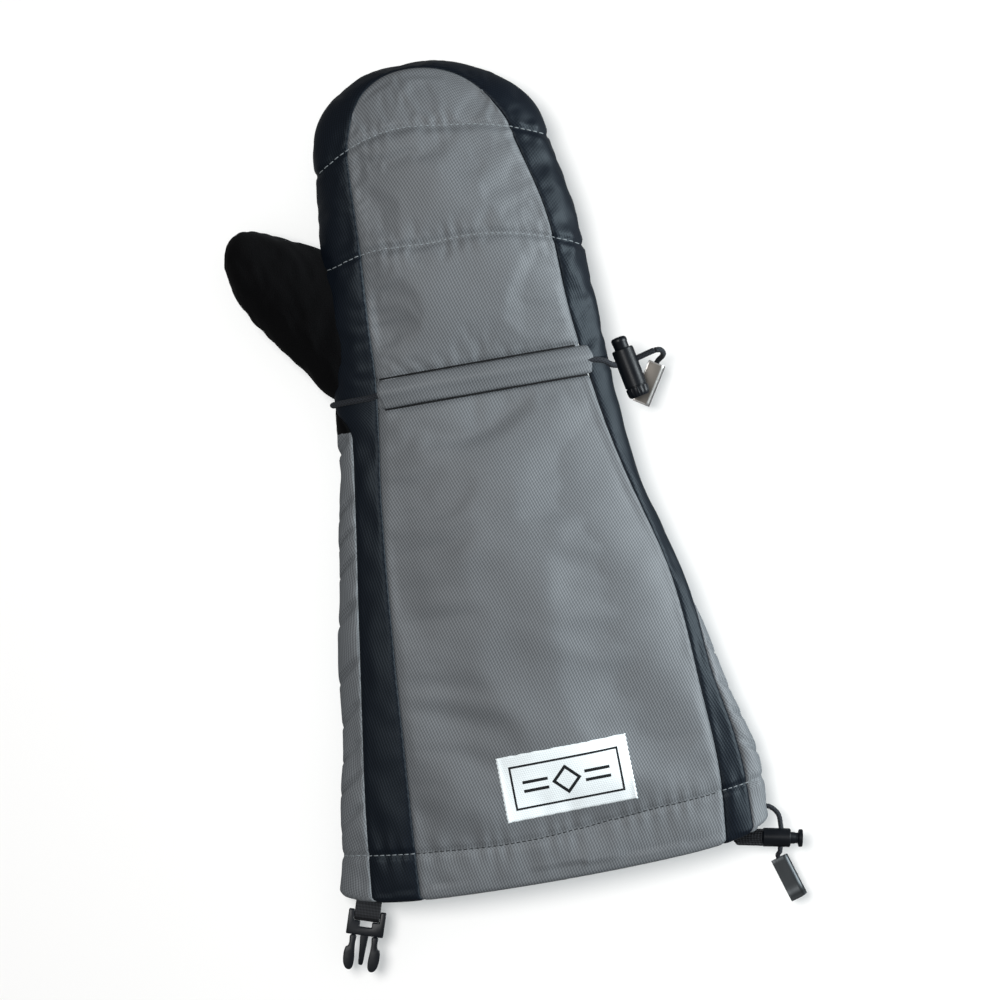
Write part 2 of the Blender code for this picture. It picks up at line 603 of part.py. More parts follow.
def make_lock(prefix, hole, turn, top, bottom, radius):
    """A barrel with a sprung button: the cord runs through both, across the barrel."""
    frame = new_empty(prefix, hole, turn, MITTEN)
    bore = radius - LOCK_WALL
    floor = bottom - LOCK_FLOOR
    through = 4 * radius
    cord_hole = cylinder_mesh(prefix + "_cord_hole", LOCK_HOLE, through, (0, 1, 0))
    barrel_profile = [(floor, 0), (floor, bore), (-top, bore), (-top, radius), (bottom, radius), (bottom, 0)]
    barrel = turned_part(prefix + "_barrel", barrel_profile, PLASTIC, frame)
    boolean(barrel, add_cutter(prefix + "_cord_hole", cord_hole, frame))

    shaft = bore - LOCK_BORE_CLEARANCE
    head_top = -top - BUTTON_PROUD
    head_low = head_top + BUTTON_HEAD_HEIGHT
    shaft_end = LOCK_HOLE + BUTTON_SHAFT_BELOW_SLOT
    button_profile = [(head_top, 0), (head_top, shaft + BUTTON_LIP), (head_low, shaft + BUTTON_LIP),
                      (head_low, shaft), (shaft_end, shaft), (shaft_end, 0)]
    button = turned_part(prefix + "_button", button_profile, PLASTIC, frame)
    slot_outline = [(-BUTTON_TRAVEL - LOCK_HOLE, -LOCK_HOLE), (LOCK_HOLE, -LOCK_HOLE),
                    (LOCK_HOLE, LOCK_HOLE), (-BUTTON_TRAVEL - LOCK_HOLE, LOCK_HOLE)]
    slot = add_cutter(prefix + "_slot", plate_mesh(prefix + "_slot", slot_outline, through), frame)
    slot.rotation_euler.x = math.radians(90)
    boolean(button, slot)

    coil_radius = shaft - SPRING_WIRE - SPRING_GAP
    path = spring_path(shaft_end + 2 * SPRING_WIRE, floor - 2 * SPRING_WIRE, coil_radius)
    cord_part(prefix + "_spring", path, SPRING_WIRE, STEEL, frame)
    return frame


def make_clip(name, near, turn, swing):
    """A strip of metal folded along one edge, with the cord gripped between its two leaves."""
    frame = new_empty(name + "_place", near, turn, swing)
    fold = CLIP_GAP / 2 + CLIP_METAL
    leaf = [(-CLIP_WIDTH / 2, fold)]
    arc_centre = CLIP_WIDTH / 2 - fold
    for step in range(CLIP_FOLD_STEPS + 1):
        angle = math.pi * (0.5 - step / CLIP_FOLD_STEPS)
        leaf.append((arc_centre + fold * math.cos(angle), fold * math.sin(angle)))
    leaf.append((-CLIP_WIDTH / 2, -fold))
    grid = [[Vector((x, y, z)) for y, z in leaf] for x in (0, CLIP_LENGTH)]
    part = add_part(name, grid_mesh(name, grid, flip=True), NICKEL, frame)
    solidify(part, CLIP_METAL)


def make_tail(prefix, path, radius, clip_near, clip_turn):
    """The free end of a cord and its clip, which swing together about the end's first point."""
    swing = new_pivot(prefix + "_clip_swing", path[0], MITTEN)
    cord_part(prefix + "_cord_tail", path, radius, CORD, swing)
    make_clip(prefix + "_cord_clip", clip_near, clip_turn, swing)


# ---------------------------------------------------------------- plug, webbing and tab


def make_plug():
    frame = new_empty("plug", PLUG_BAR, PLUG_TURN, MITTEN)
    inner = PLUG_HALF_WIDTH - PLUG_RAIL
    half_outline = [(PLUG_PLATE_START, 0), (PLUG_PLATE_START, inner), (PLUG_TOP, inner),
                    (PLUG_TOP, PLUG_HALF_WIDTH), (PLUG_PLATE_END, PLUG_HALF_WIDTH),
                    (PLUG_PLATE_END, TONGUE_ROOT_HALF), (TONGUE_END, TONGUE_TIP_HALF)]
    outline = half_outline + [(x, -y) for x, y in reversed(half_outline[1:])]
    body = add_part("plug_body", plate_mesh("plug_body", outline, PLUG_THICKNESS), PLASTIC, frame)
    bar_length = 2 * (inner + PLUG_RAIL / 2)
    bar = add_cutter("plug_bar", cylinder_mesh("plug_bar", PLUG_BAR_RADIUS, bar_length, (0, 1, 0)), frame)
    boolean(body, bar, "UNION")
    for side, name in ((-1, "plug_prong_left"), (1, "plug_prong_right")):
        outline = [(x, side * y) for x, y in PRONG_OUTLINE]
        root = new_pivot(name + "_flex", (PRONG_OUTLINE[0][0], side * PRONG_ROOT_MIDDLE, 0), frame)
        add_part(name, plate_mesh(name, outline, PRONG_THICKNESS), PLASTIC, root)

    radius = PLUG_BAR_RADIUS + WEBBING_PLAY + WEBBING_THICKNESS
    narrow = WEBBING_THICKNESS + PART_GAP / 2
    loop = [(-WEBBING_LENGTH, narrow), (-WEBBING_LENGTH / 2, narrow)]
    for step in range(WEBBING_LOOP_STEPS + 1):
        angle = WEBBING_LOOP_START * (1 - 2 * step / WEBBING_LOOP_STEPS)
        loop.append((radius * math.cos(angle), radius * math.sin(angle)))
    loop += [(-WEBBING_LENGTH / 2, -narrow), (-WEBBING_LENGTH, -narrow)]
    widths = (-WEBBING_HALF_WIDTH, WEBBING_HALF_WIDTH)
    grid = [[Vector((x, y, z)) for x, z in loop] for y in widths]
    webbing = add_part("plug_webbing", grid_mesh("plug_webbing", grid), WEBBING, frame)
    solidify(webbing, WEBBING_THICKNESS)


def make_tab(frame):
    start = HEM_LOCK_BOTTOM + PART_GAP
    outline = [(start, -TAB_HALF_WIDTH), (start + TAB_LENGTH, -TAB_HALF_WIDTH),
               (start + TAB_LENGTH, TAB_HALF_WIDTH), (start, TAB_HALF_WIDTH)]
    add_part("hem_lock_tab", plate_mesh("hem_lock_tab", outline, TAB_THICKNESS), WEBBING, frame)


# ---------------------------------------------------------------- the whole mitten

clear_scene()
PARTS = new_collection("ski_mitten")
CUTTERS = new_collection("cutters")
TWILL = new_material("grey_twill", (0.135, 0.15, 0.16), 0.75)
DARK = new_material("dark_twill", (0.014, 0.018, 0.025), 0.6)
SUEDE = new_material("black_suede", (0.006, 0.006, 0.007), 0.95)
FILL = new_material("insulation", (0.8, 0.8, 0.78), 0.95)
MEMBRANE = new_material("membrane", (0.6, 0.65, 0.68), 0.5)
FLEECE = new_material("fleece", (0.03, 0.03, 0.035), 0.95)
LINING = new_material("lining_taffeta", (0.02, 0.022, 0.026), 0.5)
LABEL = new_material("woven_label", (0.8, 0.8, 0.8), 0.8)
CORD = new_material("braided_cord", (0.02, 0.021, 0.024), 0.8)
PLASTIC = new_material("black_plastic", (0.012, 0.013, 0.016), 0.4)
STEEL = new_material("spring_steel", (0.5, 0.5, 0.52), 0.3, 1.0)
NICKEL = new_material("nickel", (0.35, 0.34, 0.33), 0.35, 1.0)
WEBBING = new_material("black_webbing", (0.01, 0.01, 0.012), 0.85)

MITTEN = new_empty("mitten", (0, -WRIST_TO_PALM, 0))
make_hand()
make_gauntlet()
make_thumb()
make_casing()
make_label()
cord_part("wrist_cord", wrist_cord_path(), CORD_RADIUS, CORD, MITTEN)
cord_part("hem_cord", hem_cord_path(), HEM_CORD_RADIUS, CORD, MITTEN)
make_lock(
    "wrist_lock", WRIST_LOCK_HOLE, WRIST_LOCK_TURN, WRIST_LOCK_TOP, WRIST_LOCK_BOTTOM, WRIST_LOCK_RADIUS
)
HEM_LOCK = make_lock(
    "hem_lock", HEM_LOCK_HOLE, HEM_LOCK_TURN, HEM_LOCK_TOP, HEM_LOCK_BOTTOM, HEM_LOCK_RADIUS
)
make_tab(HEM_LOCK)
make_tail("wrist", wrist_tail_path(), CORD_RADIUS, WRIST_CLIP_NEAR, WRIST_CLIP_TURN)
make_tail("hem", hem_tail_path(), HEM_CORD_RADIUS, HEM_CLIP_NEAR, HEM_CLIP_TURN)
make_plug()
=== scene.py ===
"""A right-hand ski mitten, lying palm down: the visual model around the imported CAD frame.

The body is drawn in millimetres from the middle of the wrist casing: x across the mitten, y towards
the fingertips, z up from the ground. The frame gives the wrist's place and that of all hardware.
A panel is a grid of points, rows by columns. `turn` is in degrees round the body's section from the
crown of the back, positive to the outer side; `tip` is in degrees round the fingertip from its sides.
"""

import json
import math

import bpy
import numpy as np
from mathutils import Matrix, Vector, noise
from mathutils.bvhtree import BVHTree


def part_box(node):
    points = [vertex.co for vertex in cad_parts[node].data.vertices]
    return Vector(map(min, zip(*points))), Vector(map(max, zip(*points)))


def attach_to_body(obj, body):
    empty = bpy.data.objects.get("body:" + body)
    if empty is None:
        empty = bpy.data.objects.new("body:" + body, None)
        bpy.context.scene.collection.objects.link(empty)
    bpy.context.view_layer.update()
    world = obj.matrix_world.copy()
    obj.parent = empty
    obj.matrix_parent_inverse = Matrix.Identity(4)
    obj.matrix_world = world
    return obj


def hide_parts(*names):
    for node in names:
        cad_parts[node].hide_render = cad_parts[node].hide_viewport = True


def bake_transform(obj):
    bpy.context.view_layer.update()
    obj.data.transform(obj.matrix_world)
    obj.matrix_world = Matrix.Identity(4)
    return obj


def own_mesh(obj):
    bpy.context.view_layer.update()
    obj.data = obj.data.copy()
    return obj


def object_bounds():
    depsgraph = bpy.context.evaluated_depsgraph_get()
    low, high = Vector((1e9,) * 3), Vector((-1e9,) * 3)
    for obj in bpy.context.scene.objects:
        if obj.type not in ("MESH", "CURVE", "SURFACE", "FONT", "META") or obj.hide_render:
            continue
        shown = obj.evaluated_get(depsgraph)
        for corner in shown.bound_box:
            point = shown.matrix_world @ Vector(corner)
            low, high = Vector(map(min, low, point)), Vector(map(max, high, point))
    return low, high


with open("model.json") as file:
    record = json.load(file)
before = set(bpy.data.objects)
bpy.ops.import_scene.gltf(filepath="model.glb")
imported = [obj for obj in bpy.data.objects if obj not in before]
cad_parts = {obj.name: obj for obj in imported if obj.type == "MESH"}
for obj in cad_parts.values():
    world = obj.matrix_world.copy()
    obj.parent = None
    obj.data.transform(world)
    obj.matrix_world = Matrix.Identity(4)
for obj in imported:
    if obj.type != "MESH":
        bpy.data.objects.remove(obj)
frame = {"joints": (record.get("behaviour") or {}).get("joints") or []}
CAD_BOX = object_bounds()
MIDDLE = (CAD_BOX[0] + CAD_BOX[1]) / 2
MM = 0.001


def joint_named(name):
    return next(joint for joint in frame["joints"] if joint["name"] == name)


def through(*rows):
    """A smooth curve through rows of (position, value), as a function of the position."""
    at, value = np.array(rows, float).T
    slope = np.gradient(value, at)

    def curve(position):
        position = min(max(position, at[0]), at[-1])
        low = min(int(np.searchsorted(at, position, side="right")) - 1, len(at) - 2)
        span = at[low + 1] - at[low]
        t = (position - at[low]) / span
        start, end = value[low], value[low + 1]
        leave, arrive = slope[low] * span, slope[low + 1] * span
        bend = 3 * (end - start) - 2 * leave - arrive
        return start + leave * t + bend * t**2 + (2 * (start - end) + leave + arrive) * t**3

    return curve


# ---- sizes of the body

CASING_LOW, CASING_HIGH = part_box("wrist_casing")
WRIST = Vector((0, (CASING_LOW.y + CASING_HIGH.y) / 2 - 0.5 * MM, 0))
HEM_Y, HEM_HALF = -215, 94
TIP_Y, TIP_REACH, TIP_LEAN = 98, 40, -4
CORNER = 45
# Half widths of the thumb side and the outer side, height of the widest line and of the crown.
HALF = {
    -1: through((HEM_Y, 93), (-150, 82), (-100, 74.2), (-50, 65.5), (-20, 61), (0, 59), (30, 57.5),
                (60, 54), (TIP_Y, 50.5)),
    1: through((HEM_Y, 93), (-190, 92), (-150, 85.5), (-100, 75.6), (-50, 63), (-28, 60.5), (0, 59),
               (30, 57.7), (60, 56.5), (TIP_Y, 50.5)),
}
WIDEST = through((HEM_Y, 15), (-150, 17), (-60, 18.5), (0, 19), (45, 19), (TIP_Y, 18))
CROWN = through((HEM_Y, 31), (-150, 37), (-60, 39), (0, 37), (45, 42), (TIP_Y, 40.5))
BACK_POWER, PALM_POWER, PALM_FLATTEN = 2.3, 3.0, 1.08
# Seams, as turns over y.
SEAM_TOP = {
    -1: through((HEM_Y, 36.5), (-100, 41), (-36, 43), (16, 39.5), (TIP_Y, 42)),
    1: through((HEM_Y, 49), (-150, 57), (-60, 67), (-26, 59), (16, 51), (76, 47), (TIP_Y, 42)),
}
SEAM_LOW = {
    -1: through((HEM_Y, 57), (-170, 60), (-100, 60.5), (-36, 62), (-20, 62), (-14, 62.5), (-9, 68),
                (0, 97)),
    1: through((HEM_Y, 65), (-170, 69), (-135, 71), (-110, 81), (-60, 95), (0, 97)),
}
HAND_LOW, HAND_WIDEST = 97, 90
TIP_SEAM_DROP = 25
# Lines of stitches, as y over x.
QUILT_HIGH = through((-49, 97.3), (-34, 105), (-12, 109.6), (1.5, 108.5), (35, 102.5), (49.4, 97.4))
QUILT_LOW = through((-50.6, 56.5), (-36, 60), (-7, 59.7), (7, 60.3), (43, 53.9), (56.6, 48.9))
HEM_STITCH = through((-94, -189), (-57, -193.3), (-10.5, -195.8), (38.6, -192.3), (81.4, -188.9), (94, -187))

SHELL = 0.8
CASING_FROM, CASING_TO = (CASING_LOW.x / MM, CASING_HIGH.x / MM)
CASING_EDGES = (-6.1, 6.9)
HEM_FOLD, HEM_FOLDS = 2.4, 8
HEM_CHANNEL, HEM_SINK = 20, 0.7
PALM_CUFF = -13
CORD_CLEARANCE = 3.4
STEP = 2.4
HAND_ROWS, TIP_ROWS, HAND_COLUMNS = 42, 13, 44


def lean(grid):
    """The fingertip leans towards the thumb."""
    past = np.clip((grid[..., 1] - TIP_Y) / (TIP_REACH - 4), 0, None)
    grid[..., 0] += TIP_LEAN * past**1.5
    return grid


def hem_line(x):
    """The hem's edge: bowed up to its sides and rounded at its corners."""
    share = abs(x) / HEM_HALF
    return HEM_Y + 3.5 * share**2 + 6 * share**8


def ground_clearance(y):
    """How far the wrist cord lifts the palm side off the ground."""
    share = min(1, max(0, (26 - abs(y)) / 16))
    return CORD_CLEARANCE * share * share * (3 - 2 * share)


def palm_height(y, depth, rise):
    """Height of the palm side, flattened on the ground."""
    floor = ground_clearance(y) + depth
    return max(floor, WIDEST(y) - (WIDEST(y) - floor) * PALM_FLATTEN * rise)


def skin(y, turn, depth=0.0, tip=0.0):
    """A point `depth` inside the body's surface."""
    turn = (turn + 180) % 360 - 180
    side = 1 if turn >= 0 else -1
    angle, tip = math.radians(abs(turn)), math.radians(tip)
    power = BACK_POWER if abs(turn) < 90 else PALM_POWER
    spread, rise = math.sin(angle) ** (2 / power), abs(math.cos(angle)) ** (2 / power)
    if abs(turn) < 90:
        z = WIDEST(y) + (CROWN(y) - depth - WIDEST(y)) * rise
    else:
        z = palm_height(y, depth, rise)
    x = side * (HALF[side](y) - depth) * spread * math.cos(tip)
    return np.array((x, y + (TIP_REACH - depth) * spread * math.sin(tip), z))


def height(x, y, depth=0.0, below=False):
    """Height of the back, or of the palm side, at a place in plan."""
    row = min(y, TIP_Y)
    across = x / (HALF[1 if x >= 0 else -1](row) - depth)
    out = min(1, math.hypot(across, max(0, y - TIP_Y) / (TIP_REACH - depth)))
    power = PALM_POWER if below else BACK_POWER
    rise = (1 - out**power) ** (1 / power)
    if below:
        return palm_height(row, depth, rise)
    return WIDEST(row) + (CROWN(row) - depth - WIDEST(row)) * rise


# ---- grids


def evenly(points, count):
    """The same line, drawn again with `count` equal steps."""
    points = np.array(points)
    along = np.concatenate([[0], np.cumsum(np.linalg.norm(np.diff(points, axis=0), axis=1))])
    wanted = np.linspace(0, along[-1], count + 1)
    return np.stack([np.interp(wanted, along, points[:, axis]) for axis in range(3)], axis=1)


def ring(y, first, last, count, depth=0.0):
    """Part of the section at y, from one turn to another."""
    return evenly([skin(y, turn, depth) for turn in np.linspace(first, last, 6 * count + 1)], count)


def gauntlet_ring(y, first, last, count, depth=0.0, above=0.0):
    """Part of the gauntlet's section, bowed like the hem's edge, and less so towards the wrist."""
    row = ring(y, first, last, count, depth)
    row[:, 1] += [(hem_line(x) + above - HEM_Y) * y / HEM_Y for x in row[:, 0]]
    return row


def gauntlet_panel(first, last, count, top_y=0.0):
    """A panel from the inside of the folded hem to the wrist, between two seams."""
    grid = []
    for fold in range(HEM_FOLDS, 0, -1):
        angle = math.pi * fold / HEM_FOLDS
        depth, above = HEM_FOLD * (1 - math.cos(angle)), HEM_FOLD * (1 - math.sin(angle))
        grid.append(gauntlet_ring(HEM_Y, first(HEM_Y), last(HEM_Y), count, depth, above))
    for y in np.linspace(HEM_Y, top_y, round((top_y - HEM_Y) / STEP) + 1):
        grid.append(gauntlet_ring(y, first(y), last(y), count, 0, HEM_FOLD))
    return np.array(grid)


def hand_seam(y, side, tip):
    return SEAM_TOP[side](y) + TIP_SEAM_DROP * math.sin(math.radians(tip)) ** 4


def level(turn):
    """An edge that keeps one turn all round the hand."""
    return lambda y, side, tip: turn


def side_stations(side):
    """Places up one side of the hand, as (y, side, tip), from the wrist to its corner at the fingertip."""
    stations = [(y, side, 0) for y in np.linspace(0, TIP_Y, HAND_ROWS + 1)]
    return stations + [(TIP_Y, side, tip) for tip in np.linspace(0, CORNER, TIP_ROWS + 1)[1:]]


def tip_stations():
    """Places over the fingertip, from the thumb side's corner to the other."""
    shares = np.linspace(-1, 1, HAND_COLUMNS + 1)
    return [(TIP_Y, -1 if share < 0 else 1, 90 - (90 - CORNER) * abs(share)) for share in shares]


def edge_line(edge, stations, depth=0.0):
    return [skin(y, side * edge(y, side, tip), depth, tip) for y, side, tip in stations]


def hand_panel(edge, depth=0.0, below=False):
    """The back or the palm side of the hand inside an edge: a grid stretched between its four sides."""
    left, right = (edge_line(edge, side_stations(side), depth) for side in (-1, 1))
    top = edge_line(edge, tip_stations(), depth)
    first, last = -edge(0, -1, 0), edge(0, 1, 0)
    if below:
        last -= 360
    bottom = ring(0, first, last, HAND_COLUMNS, depth)
    grid = []
    for row, (start, end) in enumerate(zip(left, right)):
        v = row / (len(left) - 1)
        points = []
        for column, (low, high) in enumerate(zip(bottom, top)):
            u = column / HAND_COLUMNS
            corners = (bottom[0] * (1 - u) + bottom[-1] * u) * (1 - v)
            corners = corners + (top[0] * (1 - u) + top[-1] * u) * v
            point = low * (1 - v) + high * v + start * (1 - u) + end * u - corners
            inside = 0 < row < len(left) - 1 and 0 < column < HAND_COLUMNS
            if inside:
                point[2] = height(point[0], point[1], depth, below)
            points.append(point)
        grid.append(points)
    return lean(np.array(grid))


def side_strip(count=12):
    """The strip round the hand, from its wrist on the thumb side over the fingertip to the outer side."""
    grid = []
    for y, side, tip in side_stations(-1) + tip_stations()[1:-1] + side_stations(1)[::-1]:
        turns = np.linspace(hand_seam(y, side, tip), HAND_LOW, 6 * count + 1)
        grid.append(evenly([skin(y, side * turn, 0, tip) for turn in turns], count))
    return lean(np.array(grid))[:, ::-1]


def palm_panel():
    """The suede under the hand, with a band that reaches back over the wrist."""
    band = []
    for y in np.linspace(PALM_CUFF, 0, 6)[:-1]:
        band.append(gauntlet_ring(y, -SEAM_LOW[-1](y), SEAM_LOW[1](y) - 360, HAND_COLUMNS, 0, HEM_FOLD))
    return np.concatenate([np.array(band), hand_panel(level(HAND_LOW), below=True)])[:, ::-1]


def seam(turns, side):
    """A seam's turn as a function of y."""
    return lambda y: side * turns[side](y)


def make_panels():
    """Every panel of gauntlet and hand; the numbers are how many columns lie across a gauntlet's panel."""
    top_left, top_right = seam(SEAM_TOP, -1), seam(SEAM_TOP, 1)
    low_left, low_right = seam(SEAM_LOW, -1), seam(SEAM_LOW, 1)
    return {
        "gauntlet_back_panel": gauntlet_panel(top_left, top_right, 52),
        "gauntlet_strip_thumb_side": gauntlet_panel(low_left, top_left, 10),
        "gauntlet_strip_outer_side": gauntlet_panel(top_right, low_right, 8),
        "gauntlet_palm_panel": gauntlet_panel(low_right, lambda y: 360 + low_left(y), 80, PALM_CUFF),
        "hand_back_panel": hand_panel(hand_seam),
        "hand_side_strip": side_strip(),
        "palm_panel": palm_panel(),
    }


def normals(grid, closed=False):
    """Unit normals of a grid's points, on the side that rows x columns turn to."""
    if closed:
        across = np.roll(grid, -1, axis=1) - np.roll(grid, 1, axis=1)
    else:
        across = np.gradient(grid, axis=1)
    up = np.gradient(grid, axis=0)
    out = np.cross(across, up)
    return out / np.maximum(np.linalg.norm(out, axis=2, keepdims=True), 1e-9)


def grid_faces(rows, columns, closed=False, start=0):
    """Faces between a grid's points, numbered from `start`; a closed grid's last column meets its first."""
    faces = []
    for row in range(rows - 1):
        for column in range(columns if closed else columns - 1):
            a, b = row * columns + column, row * columns + (column + 1) % columns
            faces.append((start + a, start + b, start + b + columns, start + a + columns))
    return faces


def gathered(grids):
    """The points and faces of several grids together."""
    points, faces = [], []
    for grid in grids:
        faces += grid_faces(*grid.shape[:2], start=len(points))
        points += list(grid.reshape(-1, 3))
    return points, faces


def turned(faces):
    """The same faces, facing the other way."""
    return [tuple(reversed(face)) for face in faces]


def rod_faces(rows, sides, start=0):
    """Faces round a rod, ends capped: outward where its sides turn clockwise, seen from its far end."""
    low, high = range(start, start + sides), range(start + (rows - 1) * sides, start + rows * sides)
    return turned(grid_faces(rows, sides, closed=True, start=start)) + [tuple(low), tuple(high)[::-1]]


def finer(grid):
    """The grid with a row between each two rows and a column between each two, on smooth curves."""
    for axis in (0, 1):
        grid = np.moveaxis(grid, axis, 0)
        before = np.concatenate([2 * grid[:1] - grid[1:2], grid[:-2]])
        after = np.concatenate([grid[2:], 2 * grid[-1:] - grid[-2:-1]])
        middle = (9 * (grid[:-1] + grid[1:]) - before - after) / 16
        made = np.empty((2 * len(grid) - 1, *grid.shape[1:]))
        made[::2], made[1::2] = grid, middle
        grid = np.moveaxis(made, 0, axis)
    return grid


def circle(sides):
    """Angles at even steps all the way round."""
    return [2 * math.pi * step / sides for step in range(sides)]


def lengths(grid, axis):
    """How far each point is along its row (axis 1) or column (axis 0)."""
    steps = np.linalg.norm(np.diff(grid, axis=axis), axis=2)
    start = np.zeros_like(steps[:1] if axis == 0 else steps[:, :1])
    return np.concatenate([start, np.cumsum(steps, axis=axis)], axis=axis)


# ---- meshes


def to_world(points):
    return np.asarray(points, float).reshape(-1, 3) * MM + np.array(WRIST)


def new_object(name, points, faces, material, smooth=True):
    """A mesh object from points in millimetres from the wrist."""
    mesh = bpy.data.meshes.new(name)
    mesh.from_pydata(to_world(points).tolist(), [], faces)
    mesh.validate()
    mesh.polygons.foreach_set("use_smooth", [smooth] * len(mesh.polygons))
    made = bpy.data.objects.new(name, mesh)
    bpy.context.scene.collection.objects.link(made)
    if material:
        mesh.materials.append(material)
    return made


def put_uv(piece, coordinates):
    """UV coordinates in metres, one for each point, for the weave of a cloth."""
    layer = piece.data.uv_layers.new(name="cloth")
    corners = np.zeros(len(piece.data.loops), int)
    piece.data.loops.foreach_get("vertex_index", corners)
    layer.data.foreach_set("uv", (coordinates[corners] * MM).ravel())


def sheet(name, grid, thickness, material, closed=False):
    """A piece of cloth: the grid is its outside, and its inside lies `thickness` deeper."""
    rows, columns = grid.shape[:2]
    inner = grid - normals(grid, closed) * thickness
    count = rows * columns
    faces = grid_faces(rows, columns, closed) + turned(grid_faces(rows, columns, closed, count))
    low = list(range(columns))
    high = [(rows - 1) * columns + column for column in low]
    if closed:
        loops = [(low + low[:1])[::-1], high + high[:1]]
    else:
        right = [row * columns + columns - 1 for row in range(1, rows - 1)]
        left = [row * columns for row in range(rows - 2, -1, -1)]
        loops = [(low + right + high[::-1] + left)[::-1]]
    for loop in loops:
        for a, b in zip(loop, loop[1:]):
            faces.append((a, b, b + count, a + count))
    piece = new_object(name, np.concatenate([grid.reshape(-1, 3), inner.reshape(-1, 3)]), faces, material)
    half = columns // 2
    along, across = lengths(grid, 0)[:, half:half + 1], lengths(grid, 1)
    flat = np.stack([across - across[:, half:half + 1], np.broadcast_to(along, across.shape)], axis=2)
    put_uv(piece, np.tile(flat.reshape(-1, 2), (2, 1)))
    return piece


# ---- materials


def feed(material, socket, value):
    """Sets a node's input to a value, or links it to the output socket that feeds it."""
    if isinstance(value, bpy.types.NodeSocket):
        material.node_tree.links.new(value, socket)
    else:
        socket.default_value = value


def add_node(material, kind, inputs, **settings):
    made = material.node_tree.nodes.new("ShaderNode" + kind)
    for key, value in settings.items():
        setattr(made, key, value)
    for key, value in inputs.items():
        feed(material, made.inputs[key], value)
    return made


def set_shader(material, **inputs):
    shader = material.node_tree.nodes["Principled BSDF"]
    for key, value in inputs.items():
        feed(material, shader.inputs[key.replace("_", " ")], value)


def new_material(name, colour, roughness, metallic=0.0):
    material = bpy.data.materials.new(name)
    material.use_nodes = True
    set_shader(material, Base_Color=(*colour, 1), Roughness=roughness, Metallic=metallic)
    return material


def bands(material, coordinates, turn, pitch, wobble=0.0):
    """Soft stripes of a given pitch in metres, turned by an angle."""
    placed = add_node(material, "Mapping", {"Vector": coordinates, "Rotation": (0, 0, math.radians(turn))})
    inputs = {"Vector": placed.outputs[0], "Scale": 2 * math.pi / 20 / pitch, "Distortion": wobble}
    inputs["Detail Scale"] = 1.5
    return add_node(material, "TexWave", inputs, wave_type="BANDS", bands_direction="X").outputs["Fac"]


def blend_colours(material, share, first, second):
    ramp = add_node(material, "ValToRGB", {"Fac": share})
    ramp.color_ramp.elements[0].color = (*first, 1)
    ramp.color_ramp.elements[1].color = (*second, 1)
    return ramp.outputs["Color"]


def calculate(material, operation, first, second):
    return add_node(material, "Math", {0: first, 1: second}, operation=operation).outputs[0]


def mixed(material, first, second, share=0.5):
    """The first value by its share, plus the second by the rest."""
    first = calculate(material, "MULTIPLY", first, share)
    return calculate(material, "ADD", first, calculate(material, "MULTIPLY", second, 1 - share))


def bump(material, heights, distance, strength=1.0):
    inputs = {"Height": heights, "Distance": distance, "Strength": strength}
    return add_node(material, "Bump", inputs).outputs["Normal"]


def woven(name, dark, light, pitch, roughness, gloss, depth=0.0001, turn=-17):
    """Twill: slanted ribs crossed by finer threads, over slow changes of tone."""
    material = new_material(name, dark, roughness)
    place = add_node(material, "TexCoord", {}).outputs["UV"]
    ribs = bands(material, place, turn, pitch, 1.2)
    threads = bands(material, place, turn + 74, pitch, 0.8)
    weave = mixed(material, ribs, threads, 0.66)
    slow = add_node(material, "TexNoise", {"Vector": place, "Scale": 22.0, "Detail": 3.0}).outputs["Fac"]
    tone = mixed(material, weave, slow, 0.75)
    set_shader(material, Base_Color=blend_colours(material, tone, dark, light),
               Normal=bump(material, weave, depth, 0.7), Specular_IOR_Level=gloss)
    return material


def napped(name, dark, light, scale, sheen, depth):
    """Suede, fleece or wadding: a fibrous surface with a soft nap."""
    material = new_material(name, dark, 0.95)
    place = add_node(material, "TexCoord", {}).outputs["Object"]
    fibres = add_node(material, "TexNoise", {"Vector": place, "Scale": scale, "Detail": 6.0}).outputs["Fac"]
    broad = {"Vector": place, "Scale": scale / 22, "Detail": 3.0}
    patches = add_node(material, "TexNoise", broad).outputs["Fac"]
    tone = mixed(material, fibres, patches)
    set_shader(material, Base_Color=blend_colours(material, tone, dark, light),
               Normal=bump(material, fibres, depth), Sheen_Weight=sheen, Sheen_Roughness=0.6,
               Specular_IOR_Level=0.15)
    return material


def braided(name, dark, light, pitch):
    """Threads that cross along a cord or a web."""
    material = new_material(name, dark, 0.8)
    place = add_node(material, "TexCoord", {}).outputs["UV"]
    one, other = bands(material, place, 45, pitch, 0.3), bands(material, place, -45, pitch, 0.3)
    tone = calculate(material, "MAXIMUM", one, other)
    set_shader(material, Base_Color=blend_colours(material, tone, dark, light),
               Normal=bump(material, tone, 0.0001), Sheen_Weight=0.04, Specular_IOR_Level=0.25)
    return material


